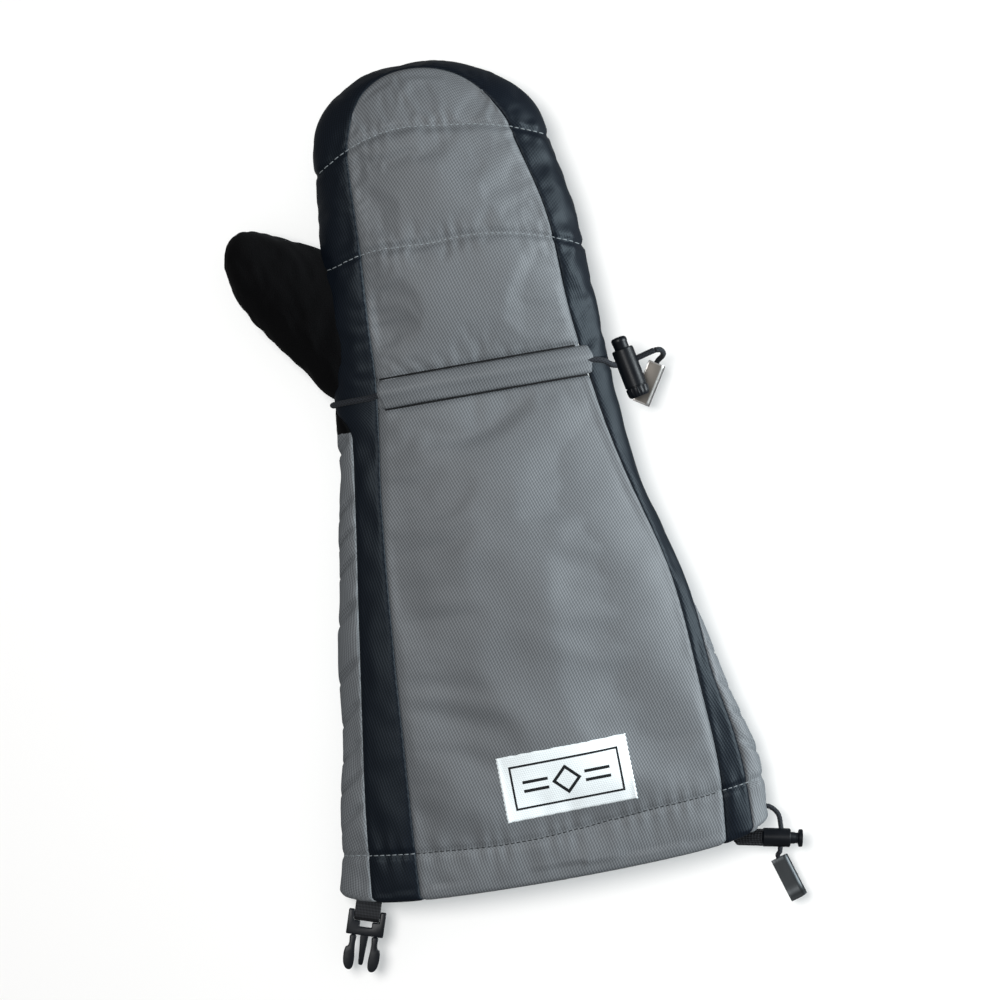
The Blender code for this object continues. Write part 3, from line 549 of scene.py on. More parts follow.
def hard(name, colour, roughness, metallic=0.0, brushed=0.0, gloss=0.5, grain=1400.0):
    """Moulded plastic or metal, with a fine grain and slightly uneven gloss."""
    material = new_material(name, colour, roughness, metallic)
    place = add_node(material, "TexCoord", {}).outputs["Object"]
    if brushed:
        place = add_node(material, "Mapping", {"Vector": place, "Scale": (1, brushed, 1)}).outputs[0]
    fine = add_node(material, "TexNoise", {"Vector": place, "Scale": grain, "Detail": 4.0}).outputs["Fac"]
    slow = add_node(material, "TexNoise", {"Vector": place, "Scale": 120.0, "Detail": 2.0}).outputs["Fac"]
    uneven = calculate(material, "MULTIPLY_ADD", slow, 0.25)
    uneven.node.inputs[2].default_value = roughness - 0.12
    lighter = tuple(min(1, value * 1.5 + 0.002) for value in colour)
    set_shader(material, Base_Color=blend_colours(material, slow, colour, lighter), Roughness=uneven,
               Normal=bump(material, fine, 0.00004, 0.7), Specular_IOR_Level=gloss)
    return material


WEAVE, FINE_WEAVE, BRAID = 0.00115, 0.0006, 0.0011
TWILL = woven("grey_twill", (0.052, 0.057, 0.062), (0.188, 0.2, 0.211), WEAVE, 0.55, 0.3)
DARK = woven("dark_twill", (0.0006, 0.0011, 0.0024), (0.0055, 0.0085, 0.0145), WEAVE, 0.46, 0.16, 0.00007)
set_shader(DARK, Specular_Tint=(0.8, 0.93, 1.0, 1))
SUEDE = napped("black_suede", (0.0004, 0.0004, 0.0005), (0.0028, 0.0028, 0.0032), 1800.0, 0.02, 0.00025)
set_shader(SUEDE, Specular_IOR_Level=0.05)
FLEECE = napped("fleece", (0.012, 0.012, 0.014), (0.05, 0.05, 0.055), 900.0, 0.5, 0.0006)
WADDING = napped("insulation", (0.62, 0.62, 0.6), (0.85, 0.85, 0.83), 500.0, 0.2, 0.0006)
MEMBRANE = woven("membrane", (0.5, 0.54, 0.57), (0.62, 0.66, 0.69), 0.004, 0.4, 0.3, 0.00005)
LINING = woven("lining_taffeta", (0.01, 0.011, 0.014), (0.03, 0.032, 0.038), FINE_WEAVE, 0.45, 0.4,
               0.00005, 90)
CORD = braided("braided_cord", (0.002, 0.0024, 0.0035), (0.02, 0.023, 0.029), BRAID)
WEBBING = woven("black_webbing", (0.0015, 0.0015, 0.002), (0.018, 0.019, 0.022), 0.0013, 0.7, 0.25, 0.0002, 0)
PLASTIC = hard("black_plastic", (0.0015, 0.0024, 0.004), 0.36, gloss=0.22)
NICKEL = hard("nickel", (0.27, 0.26, 0.25), 0.35, 1.0, brushed=0.08)
AGED = hard("aged_nickel", (0.13, 0.118, 0.105), 0.5, 1.0, brushed=0.08)
GUNMETAL = hard("gunmetal", (0.035, 0.038, 0.04), 0.42, 1.0, brushed=0.08)
STEEL = hard("spring_steel", (0.45, 0.46, 0.48), 0.3, 1.0)
LABEL = woven("woven_label", (0.72, 0.77, 0.78), (0.9, 0.95, 0.96), 0.0009, 0.8, 0.2, 0.0001, 90)
INK = woven("label_ink", (0.006, 0.007, 0.008), (0.02, 0.022, 0.024), 0.0008, 0.8, 0.1, 0.0001, 90)
THREAD = braided("thread", (0.2, 0.22, 0.23), (0.42, 0.45, 0.47), FINE_WEAVE)
# Painted shade: the same thread as on the strips, darkened for the shadow in its stitch holes on the grey
# back.
HOLE_SHADED_THREAD = braided("thread_painted_hole_shade", (0.02, 0.022, 0.024), (0.05, 0.054, 0.057), FINE_WEAVE)
# Painted shade: a near-black cord laid along the casing's edges, where the turned-under fold throws its
# shadow.
SHADE = braided("painted_fold_shadow", (0.0005, 0.0006, 0.0008), (0.004, 0.0045, 0.006), FINE_WEAVE)


# ---- cloth


# How many times each panel's blown-up shape is evened out.
SMOOTHING = {"gauntlet_strip_thumb_side": 8, "gauntlet_strip_outer_side": 8, "hand_side_strip": 1,
             "gauntlet_back_panel": 3, "gauntlet_palm_panel": 2}
CLOTH = {"quality": 4, "mass": 0.1, "air_damping": 2, "tension_stiffness": 12, "compression_stiffness": 12,
         "shear_stiffness": 3, "bending_stiffness": 0.6, "use_pressure": True, "uniform_pressure_force": 2.5,
         "shrink_min": -0.012, "vertex_group_mass": "held"}
CLOTH_FRAMES = 18
# How deep seams, stitch lines and the casing's edges sink, and how high the cloth waves beside them.
SEAM_SINK, STITCH_SINK, CASING_SINK = 0.55, 0.95, 1.3
QUILT_PUCKER, HEM_PUCKER, SEAM_PUCKER, STRIP_PUCKER = 0.34, 0.5, 0.14, 0.05
BROAD_WAVE, SMALL_WAVE, STRIP_WAVE = 2.3, 0.4, 0.8
CREASE_DEPTH, CREASE_PITCH = 2.6, 17.0


def stitch_distance(points):
    """How far each point is from the nearest quilting line or the hem's line of stitches."""
    far = np.full(points.shape[:-1], 99.0)
    for index in np.ndindex(far.shape):
        x, y, _ = points[index]
        if y > 20:
            far[index] = min(abs(y - QUILT_HIGH(x)), abs(y - QUILT_LOW(x)))
        elif y < HEM_Y + 50:
            far[index] = abs(y - HEM_STITCH(x))
    return far


def keep_outside(base, moved, deepest):
    """Moved points, taken back to at most `deepest` inside the surface they came from.

    Over the hem's cord they stay nearer to it.
    """
    out = normals(base)
    rise = np.sum((moved - base) * out, axis=2, keepdims=True)
    near_hem = base[..., 1:2] < HEM_Y + HEM_CHANNEL
    deepest = np.where(near_hem, min(deepest, HEM_SINK), deepest)
    return moved + out * np.maximum(0, -deepest - rise)


def smoothed(change, passes):
    """Each inner point's change, mixed with its neighbours'."""
    for _ in range(passes):
        around = change[:-2, 1:-1] + change[2:, 1:-1] + change[1:-1, :-2] + change[1:-1, 2:]
        change[1:-1, 1:-1] = change[1:-1, 1:-1] / 2 + around / 8
    return change


def held_weights(name, grid):
    """How firmly each point of a panel is held: wholly on its seams, its stitches, the hem and the casing.

    The thumb's seams give a little.
    """
    held = np.exp(-((stitch_distance(grid) / 1.6) ** 2))
    held[0], held[-1], held[:, 0], held[:, -1] = 1, 1, 1, 1
    held[np.abs(grid[..., 1]) < 6.5] = 1
    if name.startswith("gauntlet"):
        held[:HEM_FOLDS + 1] = 1
    if name.startswith("thumb"):
        held[:, 0], held[:, -1] = 0.9, 0.9
    return held.ravel()


def inflate(panels, most=4.0):
    """Blows every panel up between its pinned seams with Blender's cloth, by at most `most` millimetres."""
    points, faces = gathered(panels.values())
    cloth_object = new_object("simulated_cloth", points, faces, None)
    group = cloth_object.vertex_groups.new(name="held")
    for index, weight in enumerate(np.concatenate([held_weights(*panel) for panel in panels.items()])):
        group.add([index], float(weight), "REPLACE")
    cloth = cloth_object.modifiers.new("Cloth", "CLOTH").settings
    for setting, value in CLOTH.items():
        setattr(cloth, setting, value)
    cloth.effector_weights.gravity = 0
    for number in range(1, CLOTH_FRAMES + 1):
        bpy.context.scene.frame_set(number)
    found = cloth_object.evaluated_get(bpy.context.evaluated_depsgraph_get()).to_mesh()
    moved = np.zeros(len(points) * 3)
    found.vertices.foreach_get("co", moved)
    moved = (moved.reshape(-1, 3) - np.array(WRIST)) / MM
    bpy.context.scene.frame_set(1)
    bpy.data.objects.remove(cloth_object)
    blown, start = {}, 0
    for name, grid in panels.items():
        count = grid.shape[0] * grid.shape[1]
        change = moved[start:start + count].reshape(grid.shape) - grid
        size = np.linalg.norm(change, axis=2, keepdims=True)
        change *= np.minimum(1, most / np.maximum(size, 1e-9))
        change = smoothed(change, SMOOTHING.get(name, 0))
        blown[name] = keep_outside(grid, grid + change, 0.4)
        start += count
    return blown


def seam_distance(grid, over_tip):
    """How far each point is from its panel's sewn edges."""
    across = lengths(grid, 1)
    far = np.minimum(across, across[:, -1:] - across)
    if over_tip:
        up = lengths(grid, 0)
        far = np.minimum(far, up[-1:] - up)
    return far


def ripple(along, pitch):
    """Uneven waves along a line of stitches."""
    return math.cos(2 * math.pi * (along / pitch + 0.9 * noise.noise((along / pitch / 2.5, 7.3, 1.1))))


def near(distance, width):
    """1 on a line, falling off to 0 within about twice a width."""
    return math.exp(-((distance / width) ** 2))


def undulation(place, narrow):
    """The cloth's broad, uneven waves."""
    x, y, z = place
    if narrow:
        return STRIP_WAVE * noise.noise((x / 15, y / 17, z / 15 + 9))
    broad = BROAD_WAVE * noise.noise((x / 36, (y + x / 2) / 34, z / 40))
    return broad + SMALL_WAVE * noise.noise((x / 17 + y / 60, (y - x / 3) / 13, z / 16 + 5))


def woven_relief(place, seam_far, stitch_far, edge, narrow):
    """Grooves along the stitches and the casing, and the puckers beside stitches and seams."""
    x, y, _ = place
    pucker = QUILT_PUCKER if y > 0 else HEM_PUCKER
    relief = -STITCH_SINK * near(stitch_far, 1.25)
    relief += pucker * ripple(x, 7.5) * math.exp(-stitch_far / 4.5) * min(1, stitch_far / 1.5) * edge
    pucker = STRIP_PUCKER if narrow else SEAM_PUCKER
    relief += pucker * ripple(y + x / 30, 11.0) * math.exp(-seam_far / 3.5) * min(1, seam_far / 1.5)
    if CASING_FROM < x < CASING_TO and not narrow:
        relief -= CASING_SINK * near(min(abs(y - at) for at in CASING_EDGES), 1.0)
    return relief


def crease(y, seam_far):
    """How deep a slanted crease runs in from the seams of the gauntlet's palm side; none over the hem."""
    depth = max(0, ripple(y + 0.7 * seam_far, CREASE_PITCH) - 0.75) / 0.25
    depth *= min(1, max(0, (y - HEM_Y - HEM_CHANNEL - 8) / 20))
    return CREASE_DEPTH * depth * near(seam_far - 8, 8)


def dress(name, base, blown):
    """Sinks the seams and stitch lines into a blown-up panel and puckers the cloth beside them."""
    base, blown = finer(base), finer(blown)
    out = normals(base)
    seams = seam_distance(base, name in ("hand_back_panel", "palm_panel"))
    stitches_far = stitch_distance(base)
    thumb, narrow = name.startswith("thumb"), "strip" in name
    leather = thumb or name == "palm_panel"
    to_end = lengths(base, 0)
    to_end = to_end[-1:] - to_end
    for index in np.ndindex(seams.shape):
        place, seam_far = base[index], seams[index]
        y = place[1]
        edge = min(1, seam_far / 4)
        wave = undulation(place, narrow) * (0.25 if leather else 1)
        relief = -SEAM_SINK * near(seam_far, 0.9)
        if not leather:
            relief += woven_relief(place, seam_far, stitches_far[index], edge, narrow)
        if name == "gauntlet_palm_panel":
            relief -= crease(y, seam_far) * edge
        if y < HEM_Y + 6 or abs(y) < 5:
            wave = 0
        if thumb:
            relief *= min(1, to_end[index] / 4)
        blown[index] += out[index] * (relief + wave * edge)
    blown = keep_outside(base, blown, 2.0)
    blown[..., 2] = np.maximum(blown[..., 2], 0.0)
    return blown


# ---- the thumb

# The thumb's outline as x and y over its length from 0 to 1, on the fingertip side and the wrist side.
THUMB_UPPER = (
    through((0, -46), (0.12, -53.5), (0.3, -62), (0.45, -70), (0.6, -77), (0.72, -82), (0.84, -87.6),
            (0.93, -92), (1, -94.4)),
    through((0, 62), (0.12, 66.4), (0.3, 71), (0.45, 75), (0.6, 78), (0.72, 79.4), (0.84, 78.9),
            (0.93, 75.4), (1, 69.9)),
)
THUMB_LOWER = (
    through((0, -52), (0.12, -60.7), (0.3, -70), (0.45, -79.2), (0.6, -87), (0.72, -91.8), (0.84, -94),
            (0.93, -94.8), (1, -94.45)),
    through((0, -2), (0.12, 3.8), (0.3, 16.7), (0.45, 29), (0.6, 41), (0.72, 50), (0.84, 58),
            (0.93, 64.5), (1, 69.8)),
)
THUMB_HALF_HEIGHT = through((0, 12), (0.3, 12.6), (0.6, 12.3), (0.78, 11), (0.9, 8), (0.97, 4), (1, 0.1))
THUMB_Z, THUMB_POWER = 17, 0.9


def bulged(value):
    """A cosine or sine, made a little fuller."""
    return math.copysign(abs(value) ** THUMB_POWER, value)


def thumb_panel(first, last, depth=0.0, rows=36, columns=18):
    """Part of the thumb's skin: angles run from the fingertip side over its back."""
    grid = []
    for row in range(rows + 1):
        along = math.sin(math.pi / 2 * row / rows)
        upper = np.array([curve(along) for curve in THUMB_UPPER])
        lower = np.array([curve(along) for curve in THUMB_LOWER])
        middle, half = (upper + lower) / 2, (upper - lower) / 2
        half *= max(0.02, 1 - depth / np.linalg.norm(half))
        tall = max(0.1, THUMB_HALF_HEIGHT(along) - depth)
        points = []
        for angle in np.radians(np.linspace(first, last, columns + 1)):
            across, rise = bulged(math.cos(angle)), bulged(math.sin(angle))
            points.append((*(middle + half * across), THUMB_Z + tall * rise))
        grid.append(points)
    return np.array(grid)


# ---- the panels, sewn together

GAUNTLET, HAND, THUMB = "gauntlet", "hand", "thumb"
THUMB_ROOT = Vector(joint_named("thumb_swing")["pos_m"])
SLOTS = {
    "grey_twill": [TWILL], "dark_twill": [DARK], "suede": [SUEDE], "insulation": [WADDING],
    "membrane": [MEMBRANE], "fleece": [FLEECE], "lining": [LINING], "label": [LABEL, INK, THREAD],
    "cord": [CORD, HOLE_SHADED_THREAD, SHADE], "black_plastic": [PLASTIC], "spring_steel": [STEEL],
    "nickel": [NICKEL, AGED, GUNMETAL], "webbing": [WEBBING],
}


def attach(piece, body, *nodes):
    """The piece rides its body, or keeps its place with its transform baked in at the wrist or the thumb
    root, and stands for its CAD nodes.
    """
    if body == "wrist":
        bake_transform(piece)
    elif body == "thumb root":
        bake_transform(piece)
    else:
        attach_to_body(piece, body)
    next(slot for slot, used in SLOTS.items() if piece.data.materials[0] in used)
    if nodes:
        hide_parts(*nodes)
    return piece


def material_of(name):
    """What a panel is cut from."""
    if "strip" in name:
        return DARK
    return SUEDE if name.startswith(("palm", "thumb")) else TWILL


def body_of(name):
    """What a panel is attached to."""
    if name.startswith("gauntlet"):
        return GAUNTLET
    return "thumb root" if name.startswith("thumb") else "wrist"


panels = make_panels()
panels["thumb_back_panel"] = thumb_panel(0, 180)[:, ::-1]
panels["thumb_palm_panel"] = thumb_panel(180, 360)[:, ::-1]
blown = inflate(panels)
panels = {name: dress(name, grid, blown[name]) for name, grid in panels.items()}
for name, grid in panels.items():
    attach(sheet(name + "_cloth", grid, SHELL, material_of(name)), body_of(name), name)

SURFACE = BVHTree.FromPolygons(*gathered(panels.values()))


def lay(x, y, below=False):
    """Where the mitten's outside is at a place in plan, and its normal there."""
    up = -1 if below else 1
    found, normal, _, _ = SURFACE.ray_cast(Vector((x, y, 20 + up * 60)), Vector((0, 0, -up)))
    if found is None:
        return Vector((x, y, height(x, y, 0, below))), Vector((0, 0, up))
    return found, normal if normal.z * up > 0 else -normal


# ---- inside layers


def apply_modifiers(piece):
    bpy.context.view_layer.update()
    evaluated = piece.evaluated_get(bpy.context.evaluated_depsgraph_get())
    mesh = bpy.data.meshes.new_from_object(evaluated)
    piece.modifiers.clear()
    piece.data = mesh


def weld(piece):
    """Joins the points of a piece that lie on each other."""
    modifier = piece.modifiers.new("weld", "WELD")
    modifier.merge_threshold = 0.3 * MM
    apply_modifiers(piece)


def tube(name, depth, thickness, low, high, material, step=6.0):
    """A layer all the way round the gauntlet, from `low` above the hem's edge to a row."""
    rows = np.linspace(HEM_Y + low, high, round((high - HEM_Y - low) / step) + 1)
    grid = np.array([gauntlet_ring(y, -180, 180, 72, depth)[:-1] for y in rows])
    out = normals(grid, closed=True)
    for index in np.ndindex(grid.shape[:2]):
        x, y, z = grid[index]
        grid[index] += out[index] * 0.4 * noise.noise((x / 14, y / 25, z / 14))
    return sheet(name, grid, thickness, material, closed=True)


def bag(name, depth, thickness, material, sides=(False, True)):
    """A layer inside the hand: its back, its palm side, or both sewn together."""
    grids = []
    for below in sides:
        grid = hand_panel(level(HAND_WIDEST), depth, below)[::2, ::2]
        grids.append(grid[:, ::-1] if below else grid)
    piece = new_object(name, *gathered(grids), material)
    if len(sides) > 1:
        weld(piece)
    solid = piece.modifiers.new("thickness", "SOLIDIFY")
    solid.thickness, solid.offset = thickness * MM, -1
    apply_modifiers(piece)
    return piece


def sleeve(name, depth, thickness, last_row, material):
    """A layer all the way round the thumb, from inside its root to a row short of its tip."""
    grid = thumb_panel(0, 360, depth, 24, 28)[3:last_row, :0:-1]
    return sheet(name, grid, thickness, material, closed=True)


# Each layer's depth below the surface, then its thickness.
attach(tube("hem_facing_cloth", 4.9, 0.7, 1.2, HEM_Y + 19, TWILL, 3.0), GAUNTLET, "hem_facing")
attach(tube("gauntlet_wadding", 3.5, 1.3, 20, 1, WADDING), GAUNTLET, "gauntlet_fill")
attach(tube("gauntlet_lining_cloth", 6.0, 0.5, 17, -4, LINING), GAUNTLET, "gauntlet_lining")
attach(bag("hand_wadding_back", 3.0, 3.4, WADDING, [False]), "wrist", "hand_fill_back")
attach(bag("hand_wadding_palm", 3.0, 3.0, WADDING, [True]), "wrist", "hand_fill_palm")
attach(bag("hand_membrane", 8.0, 0.4, MEMBRANE), "wrist", "hand_insert")
attach(bag("hand_fleece", 9.3, 1.2, FLEECE), "wrist", "hand_liner")
attach(sleeve("thumb_wadding", 3.0, 1.6, 16, WADDING), "thumb root", "thumb_fill")
attach(sleeve("thumb_fleece", 4.8, 0.8, 15, FLEECE), "thumb root", "thumb_liner")


# ---- stitches


STITCH_RADIUS, STITCH_GAP, STITCH_LIFT, STITCH_SIDES = 0.22, 0.28, 0.2, 7
# Along a stitch: share of its length, share of its radius, rise in radii.
STITCH_PROFILE = [(0.0, 0.35, -0.5), (0.15, 0.9, 0.0), (0.5, 1.0, 0.5), (0.85, 0.9, 0.0), (1.0, 0.35, -0.5)]


def stitches(name, places, body, material):
    """A dash of thread between each two places, arched up out of the cloth."""
    points, faces = [], []
    for (start, normal), (end, _) in zip(places, places[1:]):
        along = (end - start) * (1 - STITCH_GAP)
        start = start + (end - start) * STITCH_GAP / 2
        side = along.cross(normal).normalized()
        faces += rod_faces(len(STITCH_PROFILE), STITCH_SIDES, len(points))
        for share, width, rise in STITCH_PROFILE:
            centre = start + along * share + normal * (STITCH_LIFT + rise * STITCH_RADIUS)
            for angle in circle(STITCH_SIDES):
                spoke = side * math.cos(angle) + normal * math.sin(angle)
                points.append(centre + spoke * STITCH_RADIUS * width)
    return attach(new_object(name, points, faces, material), body)


def across_line(curve, first, last, pitch=2.5, below=False):
    """Places at even steps of x on the cloth, along a line of stitches."""
    count = round((last - first) / pitch)
    return [lay(x, curve(x), below) for x in np.linspace(first, last, count + 1)]


stitches("quilting_thread_high", across_line(QUILT_HIGH, -48.5, 48.5), HAND, THREAD)
stitches("quilting_thread_low", across_line(QUILT_LOW, -52.5, 55.5), HAND, THREAD)
stitches("hem_thread_thumb_side", across_line(HEM_STITCH, -89, -58), GAUNTLET, THREAD)
# Painted shade: the thread over the grey back is drawn dark for the shadow of its stitch holes.
stitches("hem_thread_back", across_line(HEM_STITCH, -58, 72), GAUNTLET, HOLE_SHADED_THREAD)
stitches("hem_thread_outer_side", across_line(HEM_STITCH, 72, 89), GAUNTLET, THREAD)
stitches("hem_thread_palm", across_line(HEM_STITCH, -88, 88, below=True), GAUNTLET, THREAD)


# ---- wrist casing and label


CASING_FIRST, CASING_LAST = -37, 55


def wrist_casing():
    """The band over the wrist that the cord runs through, turned under along both its edges."""
    # Across the band: y, and height over the body.
    profile = [(-5.0, -1.6), (-5.6, -0.6), (-5.7, 0.8), (-5.2, 1.6), (-4.2, 1.9), (-2.4, 2.2), (-0.8, 2.9),
               (0.8, 3.5), (2.4, 3.3), (4.2, 2.4), (5.6, 1.8), (6.3, 0.8), (6.4, -0.6), (5.8, -1.6)]
    grid = []
    for y, lift in profile:
        row = ring(0, CASING_FIRST, CASING_LAST, 60, -lift)
        for point in row:
            x = point[0]
            point[1] += y + 0.25 * noise.noise((x / 14, 3.3, 0.1))
            point[2] += (0.5 * noise.noise((x / 20, y / 6, 0.5)) + 0.4) * max(0, min(1, lift / 2))
        grid.append(row)
    return sheet("wrist_casing_cloth", np.array(grid), 0.7, TWILL)


attach(wrist_casing(), GAUNTLET, "wrist_casing")


LABEL_LOW, LABEL_HIGH = (np.array(corner - WRIST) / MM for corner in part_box("label"))
LABEL_MIDDLE = (LABEL_LOW + LABEL_HIGH) / 2
LABEL_HALF = (28.0, 14.0)
LABEL_TILT = math.radians(1)
LABEL_LIFT, LABEL_THICK, LABEL_CURL = 0.75, 0.6, 0.35
FRAME_HALF, FRAME_WIDTH = (23, 9), 0.9
MARK_HALF, MARK_WIDTH = 5.4, 1.3


def on_label(x, y, lift):
    """A point over the label, from its own x and y."""
    place = (LABEL_MIDDLE[0] + x * math.cos(LABEL_TILT) - y * math.sin(LABEL_TILT),
             LABEL_MIDDLE[1] + x * math.sin(LABEL_TILT) + y * math.cos(LABEL_TILT))
    around = ((0, 0), (2, 0), (-2, 0), (0, 2), (0, -2))
    heights = [lay(place[0] + dx, place[1] + dy)[0].z for dx, dy in around]
    return np.array((*place, sum(heights) / len(around) + lift))


def label_patch():
    """The label's white cloth, with cut ends, frayed long edges and slightly lifted ends."""
    half_x, half_y = LABEL_HALF
    grid = []
    for y in np.linspace(-half_y, half_y, 29):
        row = []
        for step, x in enumerate(np.linspace(-half_x, half_x, 57)):
            cut = 0.4 * (round(y) % 2) if step in (0, 56) else 0
            frayed = 0.25 * noise.noise((x / 2, y / 2, 4.4)) if abs(y) == half_y else 0
            curl = LABEL_CURL * max(0, abs(x) / half_x - 0.93) / 0.07
            row.append(on_label(x - math.copysign(cut, x), y + frayed, LABEL_LIFT + curl))
        grid.append(row)
    return sheet("label_patch", np.array(grid), LABEL_THICK, LABEL)


def printed(name, line, width, closed=False):
    """A line woven into the label, as a thin raised band."""
    low, high = LABEL_LIFT - 0.05, LABEL_LIFT + 0.11
    corners = [Vector(corner) for corner in line] + ([Vector(line[0])] if closed else [])
    points, faces = [], []
    for start, end in zip(corners, corners[1:]):
        along = (end - start).normalized()
        side = Vector((-along.y, along.x)) * width / 2
        count = max(1, round((end - start).length / 1.2))
        faces += rod_faces(count + 1, 4, len(points))
        for step in range(count + 1):
            middle = start - along * width / 2 + (end - start + along * width) * step / count
            for edge, lift in ((-1, low), (-1, high), (1, high), (1, low)):
                points.append(on_label(*(middle + side * edge), lift))
    piece = new_object(name, points, faces, INK, smooth=False)
    put_uv(piece, np.array([(point[0], point[1]) for point in points]))
    return attach(piece, GAUNTLET)


attach(label_patch(), GAUNTLET, "label")
half_x, half_y = FRAME_HALF
frame_corners = [(-half_x, -half_y), (half_x, -half_y), (half_x, half_y), (-half_x, half_y)]
printed("label_frame", frame_corners, FRAME_WIDTH, closed=True)
diamond = [(0, -MARK_HALF), (MARK_HALF, 0), (0, MARK_HALF), (-MARK_HALF, 0)]
printed("label_mark_diamond", diamond, MARK_WIDTH, closed=True)
for number, (side, y) in enumerate([(-1, 1.9), (-1, -1.9), (1, 1.9), (1, -1.9)]):
    printed(f"label_mark_bar_{number}", [(side * 8.5, y), (side * 18, y)], MARK_WIDTH)


# ---- cords


def curve_through(points, step=0.45):
    """Points at even steps on a smooth curve through some points."""
    points = np.array(points, float)
    along = np.concatenate([[0], np.cumsum(np.linalg.norm(np.diff(points, axis=0), axis=1))])
    curves = [through(*zip(along, points[:, axis])) for axis in range(3)]
    count = max(2, round(along[-1] / step))
    return np.array([[curve(at) for curve in curves] for at in np.linspace(0, along[-1], count + 1)])


def cord(name, points, radius, material=CORD, sides=12, strands=4, twist=2.2):
    """A braided cord: two sets of strands cross over its surface, `twist` radians a millimetre."""
    path = curve_through(points)
    ahead = np.gradient(path, axis=0)
    ahead /= np.linalg.norm(ahead, axis=1, keepdims=True)
    side = np.cross(ahead[0], (0.0, 0.0, 1.0))
    if np.linalg.norm(side) < 0.1:
        side = np.cross(ahead[0], (0.0, 1.0, 0.0))
    grid, flat, travelled = [], [], 0.0
    for index, (centre, tangent) in enumerate(zip(path, ahead)):
        side = side - tangent * np.dot(side, tangent)
        side /= np.linalg.norm(side)
        up = np.cross(side, tangent)
        if index:
            travelled += np.linalg.norm(centre - path[index - 1])
        row = []
        for angle in circle(sides):
            lay_angle, lay_turn = strands * angle, twist * travelled
            over = math.cos(lay_angle + lay_turn) * math.cos(lay_angle - lay_turn)
            spoke = side * math.cos(angle) + up * math.sin(angle)
            row.append(centre + spoke * radius * (0.97 + 0.07 * over))
            flat.append((travelled, angle * radius))
        grid.append(row)
    piece = new_object(name, np.array(grid).reshape(-1, 3), rod_faces(len(grid), sides), material)
    put_uv(piece, np.array(flat))
    return piece


def joint_axis(name):
    return Vector(joint_named(name)["axis"]).normalized()


def joint_place(name):
    return (Vector(joint_named(name)["pos_m"]) - WRIST) / MM


def local(place, x_axis):
    """A frame in millimetres: its origin, its x along an axis in plan, z up."""
    x_axis = Vector(x_axis).normalized()
    y_axis = Vector((0, 0, 1)).cross(x_axis)
    return lambda x, y, z=0.0: place + x_axis * x + y_axis * y + Vector((0, 0, z))


def centre_of(node):
    """The middle of a CAD node, in millimetres from the wrist."""
    low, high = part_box(node)
    return ((low + high) / 2 - WRIST) / MM


def fold_shadow_line(name, y, lift, last):
    """A thin near-black cord along an edge of the casing: painted shadow of the casing's turned-under fold.
    """
    turns = np.linspace(CASING_FIRST + 0.5, last, 24)
    points = [skin(0, turn, -lift) + np.array((0, y, 0)) for turn in turns]
    attach(cord(name, points, 0.42, SHADE, 8, 2), GAUNTLET)


# Painted shadows: dark cords along both edges of the casing, where its folds cast their shade.
fold_shadow_line("casing_fold_shadow_low", CASING_EDGES[0], 0.4, CASING_LAST - 2)
fold_shadow_line("casing_fold_shadow_high", CASING_EDGES[1], 0.9, CASING_LAST - 8)


# ---- barrel locks


class Lock:
    """A barrel lock: the cord crosses it at its origin, its button is towards -x and its bottom towards x."""

    def __init__(self, prefix, top, bottom, radius):
        self.prefix, self.top, self.bottom, self.radius = prefix, top, bottom, radius
        self.press = prefix.replace("lock", "button") + "_press"
        self.axis = joint_axis(self.press)
        self.hole = centre_of(prefix + "_barrel") - self.axis * (bottom - top) / 2
        self.point = local(self.hole, self.axis)
        self.cordwise = Vector((0, 0, 1)).cross(self.axis)


WRIST_LOCK = Lock("wrist_lock", 5.5, 16.0, 4.7)
HEM_LOCK = Lock("hem_lock", 4.2, 8.0, 4.0)
CORD_HOLE, BUTTON_TRAVEL, BUTTON_PROUD, BUTTON_END = 1.5, 3.0, 5.2, 2.9
LOCK_WALL, LOCK_FLOOR, LOCK_PLAY = 1.2, 1.6, 0.3
COIL_TURNS, COIL_STEPS, COIL_WIRE = 5, 12, 0.3
RIB_DEPTH = 0.3


def lathe(name, lock, profile, sides=40, rib_from=None):
    """A turned plastic piece on a lock's axis, from (distance, radius) pairs, with ribs past a distance."""
    points = []
    for distance, radius in profile:
        ribbed = rib_from is not None and distance > rib_from and radius > 2
        for number, angle in enumerate(circle(sides)):
            reach = radius - (RIB_DEPTH * (number % 2) if ribbed else 0)
            points.append(lock.point(distance, reach * math.cos(angle), reach * math.sin(angle)))
    return new_object(name, points, rod_faces(len(profile), sides), PLASTIC)


def soften(piece, width, segments=2, angle=35):
    """Rounds a piece's sharp edges."""
    modifier = piece.modifiers.new("rounded", "BEVEL")
    modifier.width, modifier.segments = width * MM, segments
    modifier.limit_method, modifier.angle_limit = "ANGLE", math.radians(angle)
    apply_modifiers(piece)
    return piece


def shade_by_angle(piece, angle=40):
    piece.data.set_sharp_from_angle(angle=math.radians(angle))


def drill(piece, lock, slot=0.0):
    """Cuts the cord's hole across a lock, drawn out towards its button by a slot's length."""
    sides, reach = 24, 15
    outline = []
    for angle in circle(sides):
        x = CORD_HOLE * math.cos(angle)
        outline.append((x - (slot if x < 0 else 0), CORD_HOLE * math.sin(angle)))
    points = [lock.point(x, side * reach, z) for side in (-1, 1) for x, z in outline]
    cutter = new_object("drill", points, turned(rod_faces(2, sides)), None)
    combine(piece, cutter, "DIFFERENCE")
    shade_by_angle(piece)
    return piece


def combine(piece, other, operation):
    """Boolean difference or union; the other piece is used up."""
    modifier = piece.modifiers.new("combine", "BOOLEAN")
    modifier.operation, modifier.object, modifier.solver = operation, other, "EXACT"
    apply_modifiers(piece)
    bpy.data.objects.remove(other)


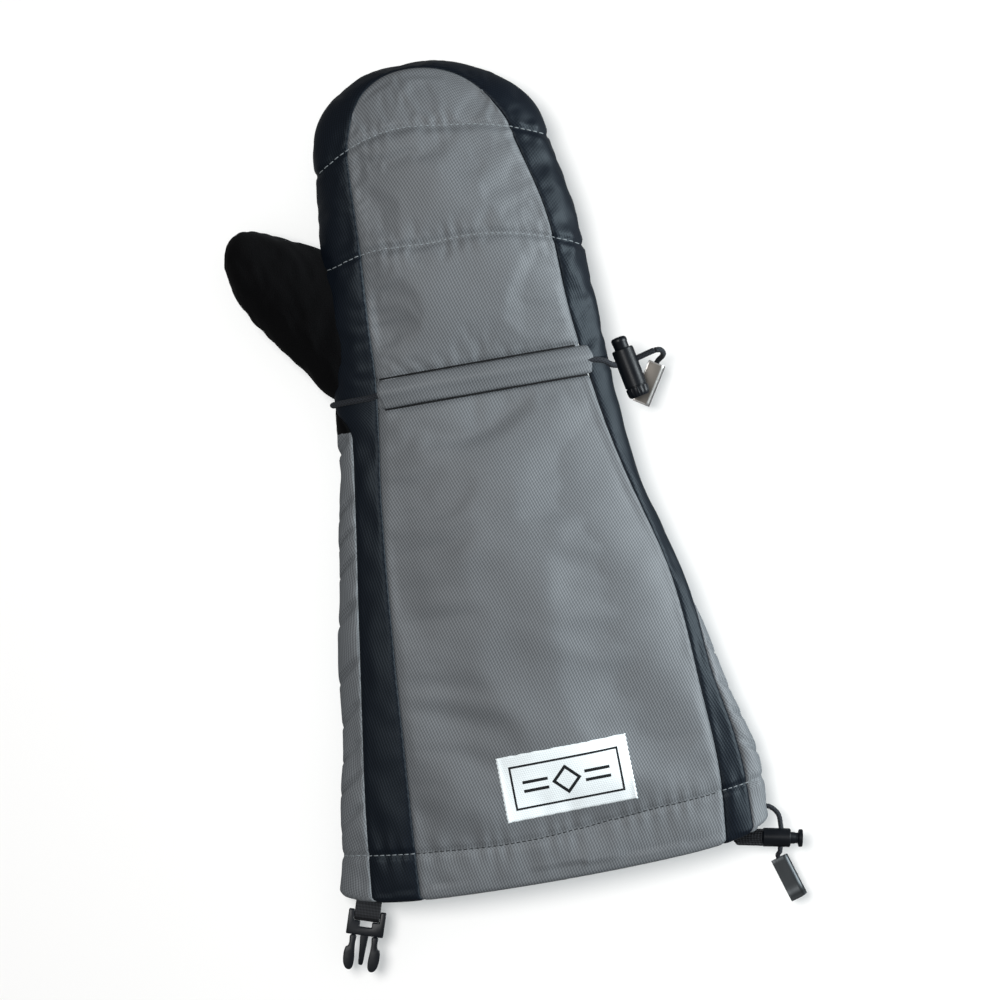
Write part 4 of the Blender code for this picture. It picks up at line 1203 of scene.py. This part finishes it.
def barrel_profile(lock, bore, inner, spool):
    """The barrel's section, from the inside of its floor round its mouth to its bottom."""
    top, bottom, radius = lock.top, lock.bottom, lock.radius
    profile = [(inner, 0.05), (inner, bore), (-top + 0.3, bore), (-top, bore + 0.25), (-top, radius - 0.45),
               (-top + 0.45, radius), (inner - 3.2, radius)]
    if spool:
        profile += [(bottom - 0.7, radius)]
    else:
        profile += [(inner - 3.0, radius - 0.35), (inner - 2.7, radius - 0.35), (inner - 2.5, radius + 0.1)]
        profile += [(inner - 1.4, radius + 0.1), (inner, radius + 0.05), (bottom - 0.6, radius - 0.3)]
    return profile + [(bottom, radius - 1.0), (bottom, 0.05)]


def button_profile(lock, shaft, spool):
    """The button's section: a spool that stays outside the barrel, or a plunger that slides into it."""
    head = -lock.top - BUTTON_PROUD
    if spool:
        knob = [(0, 0.05), (0, 3.4), (0.3, 3.8), (1.5, 3.8), (1.8, 3.4), (2.0, 2.3), (3.2, 2.3), (3.5, shaft)]
    else:
        knob = [(0.1, 0.05), (0, 1.5), (0.2, 2.6), (0.6, 3.15), (1.2, 3.4), (2.4, 3.4), (2.7, shaft)]
    knob = [(head + distance, radius) for distance, radius in knob]
    return knob + [(BUTTON_END, shaft), (BUTTON_END, 0.05)]


def make_spring(lock, body, radius, inner):
    """The coil between button and floor, built as it stands with the button at rest."""
    coil = []
    for step in range(COIL_STEPS * COIL_TURNS + 1):
        angle = 2 * math.pi * step / COIL_STEPS
        along = BUTTON_END + 0.7 + (inner - BUTTON_END - 1.4) * step / (COIL_STEPS * COIL_TURNS)
        coil.append(lock.point(along, radius * math.cos(angle), radius * math.sin(angle)))
    spring = cord(lock.prefix + "_coil", coil, COIL_WIRE, STEEL, 8, 1, 0.0)
    attach(spring, body, lock.prefix + "_spring")
    anchor = WRIST + lock.point(inner - 0.2, 0, 0) * MM
    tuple(lock.axis)
    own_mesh(spring)


def make_lock(lock, body, button_body, spool):
    bore, inner = lock.radius - LOCK_WALL, lock.bottom - LOCK_FLOOR
    shaft = bore - LOCK_PLAY
    rib_from = None if spool else inner - 2.6
    barrel = lathe(lock.prefix + "_body", lock, barrel_profile(lock, bore, inner, spool), rib_from=rib_from)
    attach(drill(barrel, lock), body, lock.prefix + "_barrel")
    knob = lathe(lock.prefix + "_knob", lock, button_profile(lock, shaft, spool))
    attach(drill(knob, lock, slot=BUTTON_TRAVEL), button_body, lock.prefix + "_button")
    make_spring(lock, body, shaft - 0.7, inner)


def plate(name, point, outline, thickness, material, rounded=0.45):
    """A moulded flat piece from its outline, with rounded edges."""
    count = len(outline)
    points = [point(x, y, side * thickness / 2) for side in (-1, 1) for x, y in outline]
    faces = [tuple(range(count - 1, -1, -1)), tuple(range(count, 2 * count))]
    faces += [(a, (a + 1) % count, (a + 1) % count + count, a + count) for a in range(count)]
    piece = new_object(name, points, faces, material)
    soften(piece, rounded, 3)
    shade_by_angle(piece, 30)
    return piece


make_lock(WRIST_LOCK, "wrist_lock", "wrist_button", spool=False)
make_lock(HEM_LOCK, GAUNTLET, "hem_button", spool=True)


# ---- the cords' paths and clips


def wrist_path():
    """Under the palm and up the thumb side, through the casing, then down to its lock and through it."""
    path = [skin(0, turn, -0.9) for turn in range(140, 324, 8)]
    path += [skin(0, turn, -1.8) + np.array((0, 0.5, 0)) for turn in range(CASING_FIRST, CASING_LAST + 1, 12)]
    entry = WRIST_LOCK.hole - WRIST_LOCK.cordwise * (WRIST_LOCK.radius + 0.2)
    path += [entry + Vector((-4.5, 2.4, 5.4)), entry + Vector((-1.6, 0.4, 1.9)), entry]
    return path + [WRIST_LOCK.hole + WRIST_LOCK.cordwise * 12.6]


CLIP_LENGTH, CLIP_WIDTH, CLIP_GAP, CLIP_METAL = 18.5, 8.0, 3.2, 0.7
HEM_CORD = 1.05


class Clip:
    """A folded metal cord end: its near end's middle and the direction of its length."""

    def __init__(self, node, turn):
        self.axis = Vector((math.cos(math.radians(turn)), math.sin(math.radians(turn)), 0))
        self.near = centre_of(node) - self.axis * CLIP_LENGTH / 2
        self.point = local(self.near, self.axis)


WRIST_CLIP = Clip("wrist_cord_clip", 238)
HEM_CLIP = Clip("hem_cord_clip", 287)


def make_clip(name, clip, node, body, material, curl=0.0, face=None):
    """A strip of metal folded along one edge round the cord; its far end may curl up, its face be inset."""
    half, out = CLIP_WIDTH / 2, CLIP_GAP / 2 + CLIP_METAL
    leaf = [(-half + 0.4, out)] + [(y, out) for y in (-2, 0, 1.6)]
    for angle in np.linspace(math.pi / 2, -math.pi / 2, 9):
        leaf.append((half - out + out * math.cos(angle), out * math.sin(angle)))
    leaf += [(y, -out) for y in (1.6, 0, -2)] + [(-half + 0.4, -out)]
    grid = []
    for x in np.linspace(0, CLIP_LENGTH, 13):
        rise = curl * max(0, x - CLIP_LENGTH * 0.75) ** 2
        grid.append([clip.point(x, y, z + rise) for y, z in leaf])
    piece = sheet(name, np.array(grid)[::-1], CLIP_METAL, material)
    attach(soften(piece, 0.22), body, node)
    if face:
        def on_face(x, y, z):
            return clip.point(x, y, out + z)

        near_end, far_end, near_edge, far_edge = 0.6, CLIP_LENGTH - 0.6, 0.9 - half, 2.3
        corners = [(near_end, near_edge), (far_end, near_edge), (far_end, far_edge), (near_end, far_edge)]
        attach(plate(name + "_face", on_face, corners, 0.2, face, 0.05), body)


def tail_path(start, bend, clip):
    """From where the cord leaves its lock, round a bend into its clip."""
    path = [start] + [start + Vector(offset) for offset in bend]
    return path + [clip.near - clip.axis, clip.near + clip.axis * 6, clip.near + clip.axis * 13]


attach(cord("wrist_cord_braid", wrist_path(), 1.25), GAUNTLET, "wrist_cord")
wrist_bend = [(2.2, -0.2, -1.2), (3.3, -1.4, -3.8), (3.0, -2.8, -8.0)]
wrist_tail = tail_path(joint_place("wrist_clip_swing"), wrist_bend, WRIST_CLIP)
attach(cord("wrist_cord_end", wrist_tail, 1.2), "wrist_clip", "wrist_cord_tail")
make_clip("wrist_clip_metal", WRIST_CLIP, "wrist_cord_clip", "wrist_clip", NICKEL, face=AGED)


def hem_path():
    """All the way round inside the hem, then out at its outer side and down through its lock."""
    path = [gauntlet_ring(HEM_Y + 8, turn, turn + 0.1, 1, 2.9)[0] for turn in np.linspace(84, -262, 60)]
    above = HEM_LOCK.hole - HEM_LOCK.cordwise * (HEM_LOCK.radius + 1)
    out = Vector(path[-1]) + Vector((4.2, -0.6, 0))
    path += [out, (out + above) / 2 + Vector((1.4, 1.2, 0)), above]
    return path + [HEM_LOCK.hole + HEM_LOCK.cordwise * 5.6]


attach(cord("hem_cord_braid", hem_path(), HEM_CORD), GAUNTLET, "hem_cord")
hem_tail = tail_path(joint_place("hem_clip_swing"), [], HEM_CLIP)
attach(cord("hem_cord_end", hem_tail, HEM_CORD), "hem_clip", "hem_cord_tail")
make_clip("hem_clip_metal", HEM_CLIP, "hem_cord_clip", "hem_clip", GUNMETAL, curl=0.09)


# ---- plug, webbing and tab


def joined(pieces):
    """One piece from several, by Boolean union."""
    first = pieces[0]
    for other in pieces[1:]:
        combine(first, other, "UNION")
    shade_by_angle(first, 30)
    return first


PLUG_AXIS = joint_axis("plug_swing").cross(Vector((0, 0, 1)))
if PLUG_AXIS.y > 0:
    PLUG_AXIS = -PLUG_AXIS
PLUG = local(joint_place("plug_swing"), PLUG_AXIS)


def rounded_outline(corners, steps=3):
    """An outline with each side drawn as part of a smooth curve through its corners."""
    corners = [np.array(corner, float) for corner in corners]
    made, count = [], len(corners)
    for index in range(count):
        before, start, end, after = (corners[(index + step) % count] for step in (-1, 0, 1, 2))
        for t in np.arange(steps) / steps:
            square = (2 * before - 5 * start + 4 * end - after) * t**2
            cube = (3 * start - before - 3 * end + after) * t**3
            made.append(tuple(0.5 * (2 * start + (end - before) * t + square + cube)))
    return made


def make_plug():
    """The plug's block with its window and the bar for the webbing, its tongue, and its two prongs."""
    wall = [(5.4, -2.6), (5.4, 2.6), (2.9, 2.6), (2.9, 5.6), (-1.8, 5.6), (-1.8, 8), (8.8, 8), (8.8, -8),
            (-1.8, -8), (-1.8, -5.6), (2.9, -5.6), (2.9, -2.6)]
    block = plate("plug_block", PLUG, wall[::-1], 4.2, PLASTIC)
    point = [(8, -1.8), (8, 1.8), (21, 1.0), (21.5, 0.5), (21.5, -0.5), (21, -1.0)]
    tongue = plate("plug_tongue", PLUG, point[::-1], 3.0, PLASTIC)
    rod = [(-1.1, -6), (-1.1, 6), (1.1, 6), (1.1, -6)]
    bar = plate("plug_bar", PLUG, rod[::-1], 2.2, PLASTIC, 0.7)
    attach(joined([block, tongue, bar]), "plug", "plug_body")
    paddle = [(9.3, 3.4), (12, 3.5), (15, 3.4), (19, 3.0), (22, 3.1), (23.6, 3.8), (24, 5.0), (23.3, 6.4),
              (21, 7.5), (17.4, 7.8), (14.8, 7.4), (14.0, 6.4), (12, 6.0), (9.3, 6.0)]
    for side, name in ((-1, "left"), (1, "right")):
        outline = rounded_outline([(x, side * y) for x, y in paddle])[::side]
        prong = plate(f"plug_prong_{name}_arm", PLUG, outline, 3.4, PLASTIC, 0.5)
        attach(prong, "prong_" + name, "plug_prong_" + name)


make_plug()


def make_webbing():
    """The loop of webbing that holds the plug's bar, sewn into the hem."""
    radius, narrow = 2.7, 1.2
    loop = [(-10, narrow), (-5, narrow)]
    for angle in np.radians(np.linspace(110, -110, 13)):
        loop.append((radius * math.cos(angle), radius * math.sin(angle)))
    loop += [(-5, -narrow), (-10, -narrow)]
    loop = curve_through([(x, 0, z) for x, z in loop], 0.6)
    grid = []
    for y in np.linspace(-5.5, 5.5, 23):
        rib = 0.09 * math.cos(math.pi * y)
        grid.append([PLUG(x, y, z + math.copysign(rib, z)) for x, _, z in loop])
    return sheet("plug_webbing_loop", np.array(grid), 1.0, WEBBING)


attach(make_webbing(), GAUNTLET, "plug_webbing")


def make_tab():
    """The ribbed web tab behind the hem's lock, with a rounded free end."""
    start, length, half = HEM_LOCK.bottom - 0.6, 13.0, 3.0
    grid = []
    for y in np.linspace(-half, half, 25):
        reach = length - 2.2 * (1 - math.sqrt(max(0, 1 - (y / half) ** 2)))
        rib = 0.16 * abs(math.sin(2 * math.pi * y / 1.5))
        grid.append([HEM_LOCK.point(x, y, 0.55 + rib) for x in np.linspace(start, start + reach, 20)])
    return sheet("hem_lock_web", np.array(grid)[::-1], 1.3, WEBBING)


attach(make_tab(), GAUNTLET, "hem_lock_tab")


# ---- stage, light and camera


def make_stage():
    """White paper to the camera; darker to the mitten, so that it throws little light up at it."""
    paper = new_material("paper", (0.93, 0.93, 0.93), 0.9)
    seen = add_node(paper, "LightPath", {}).outputs["Is Camera Ray"]
    set_shader(paper, Base_Color=blend_colours(paper, seen, (0.2, 0.2, 0.2), (0.9, 0.875, 0.855)),
               Specular_IOR_Level=0.0)
    reach, low = 3000, -0.05
    corners = [(-reach, -reach, low), (reach, -reach, low), (reach, reach, low), (-reach, reach, low)]
    new_object("floor", corners, [(0, 1, 2, 3)], paper)


def area_light(name, place, size, energy, colour=(1, 1, 1), shadow=True):
    """A softbox that faces the mitten."""
    lamp = bpy.data.objects.new(name, bpy.data.lights.new(name, "AREA"))
    lamp.data.shape, lamp.data.size, lamp.data.energy = "DISK", size, energy
    lamp.data.color, lamp.data.use_shadow = colour, shadow
    lamp.location = MIDDLE + Vector(place)
    lamp.rotation_euler = (MIDDLE - lamp.location).to_track_quat("-Z", "Y").to_euler()
    bpy.context.scene.collection.objects.link(lamp)


def make_light():
    """A large light from the upper left, a cooler one low on the outer side, and faint light all round."""
    area_light("key_softbox", (-0.55, 0.45, 2.3), 1.0, 34)
    area_light("side_softbox", (1.3, 0.0, 0.38), 0.8, 32, (0.88, 0.96, 1.0), shadow=False)
    world = bpy.data.worlds.new("studio")
    world.use_nodes = True
    around = world.node_tree.nodes["Background"].inputs
    around["Color"].default_value = (0.96, 0.98, 1.0, 1)
    around["Strength"].default_value = 0.29
    bpy.context.scene.world = world
    bpy.context.scene.view_settings.view_transform = "Standard"


def make_camera():
    """Straight above the mitten, which leans ten degrees to the left in the picture."""
    distance, width = 1.9, 0.43
    camera = bpy.data.objects.new("camera", bpy.data.cameras.new("camera"))
    camera.location = (MIDDLE.x, MIDDLE.y, distance)
    camera.rotation_euler = (0, 0, math.radians(-10))
    camera.data.sensor_width = 36
    camera.data.lens = 36 * distance / width
    bpy.context.scene.collection.objects.link(camera)
    bpy.context.scene.camera = camera


make_stage()
make_light()
make_camera()
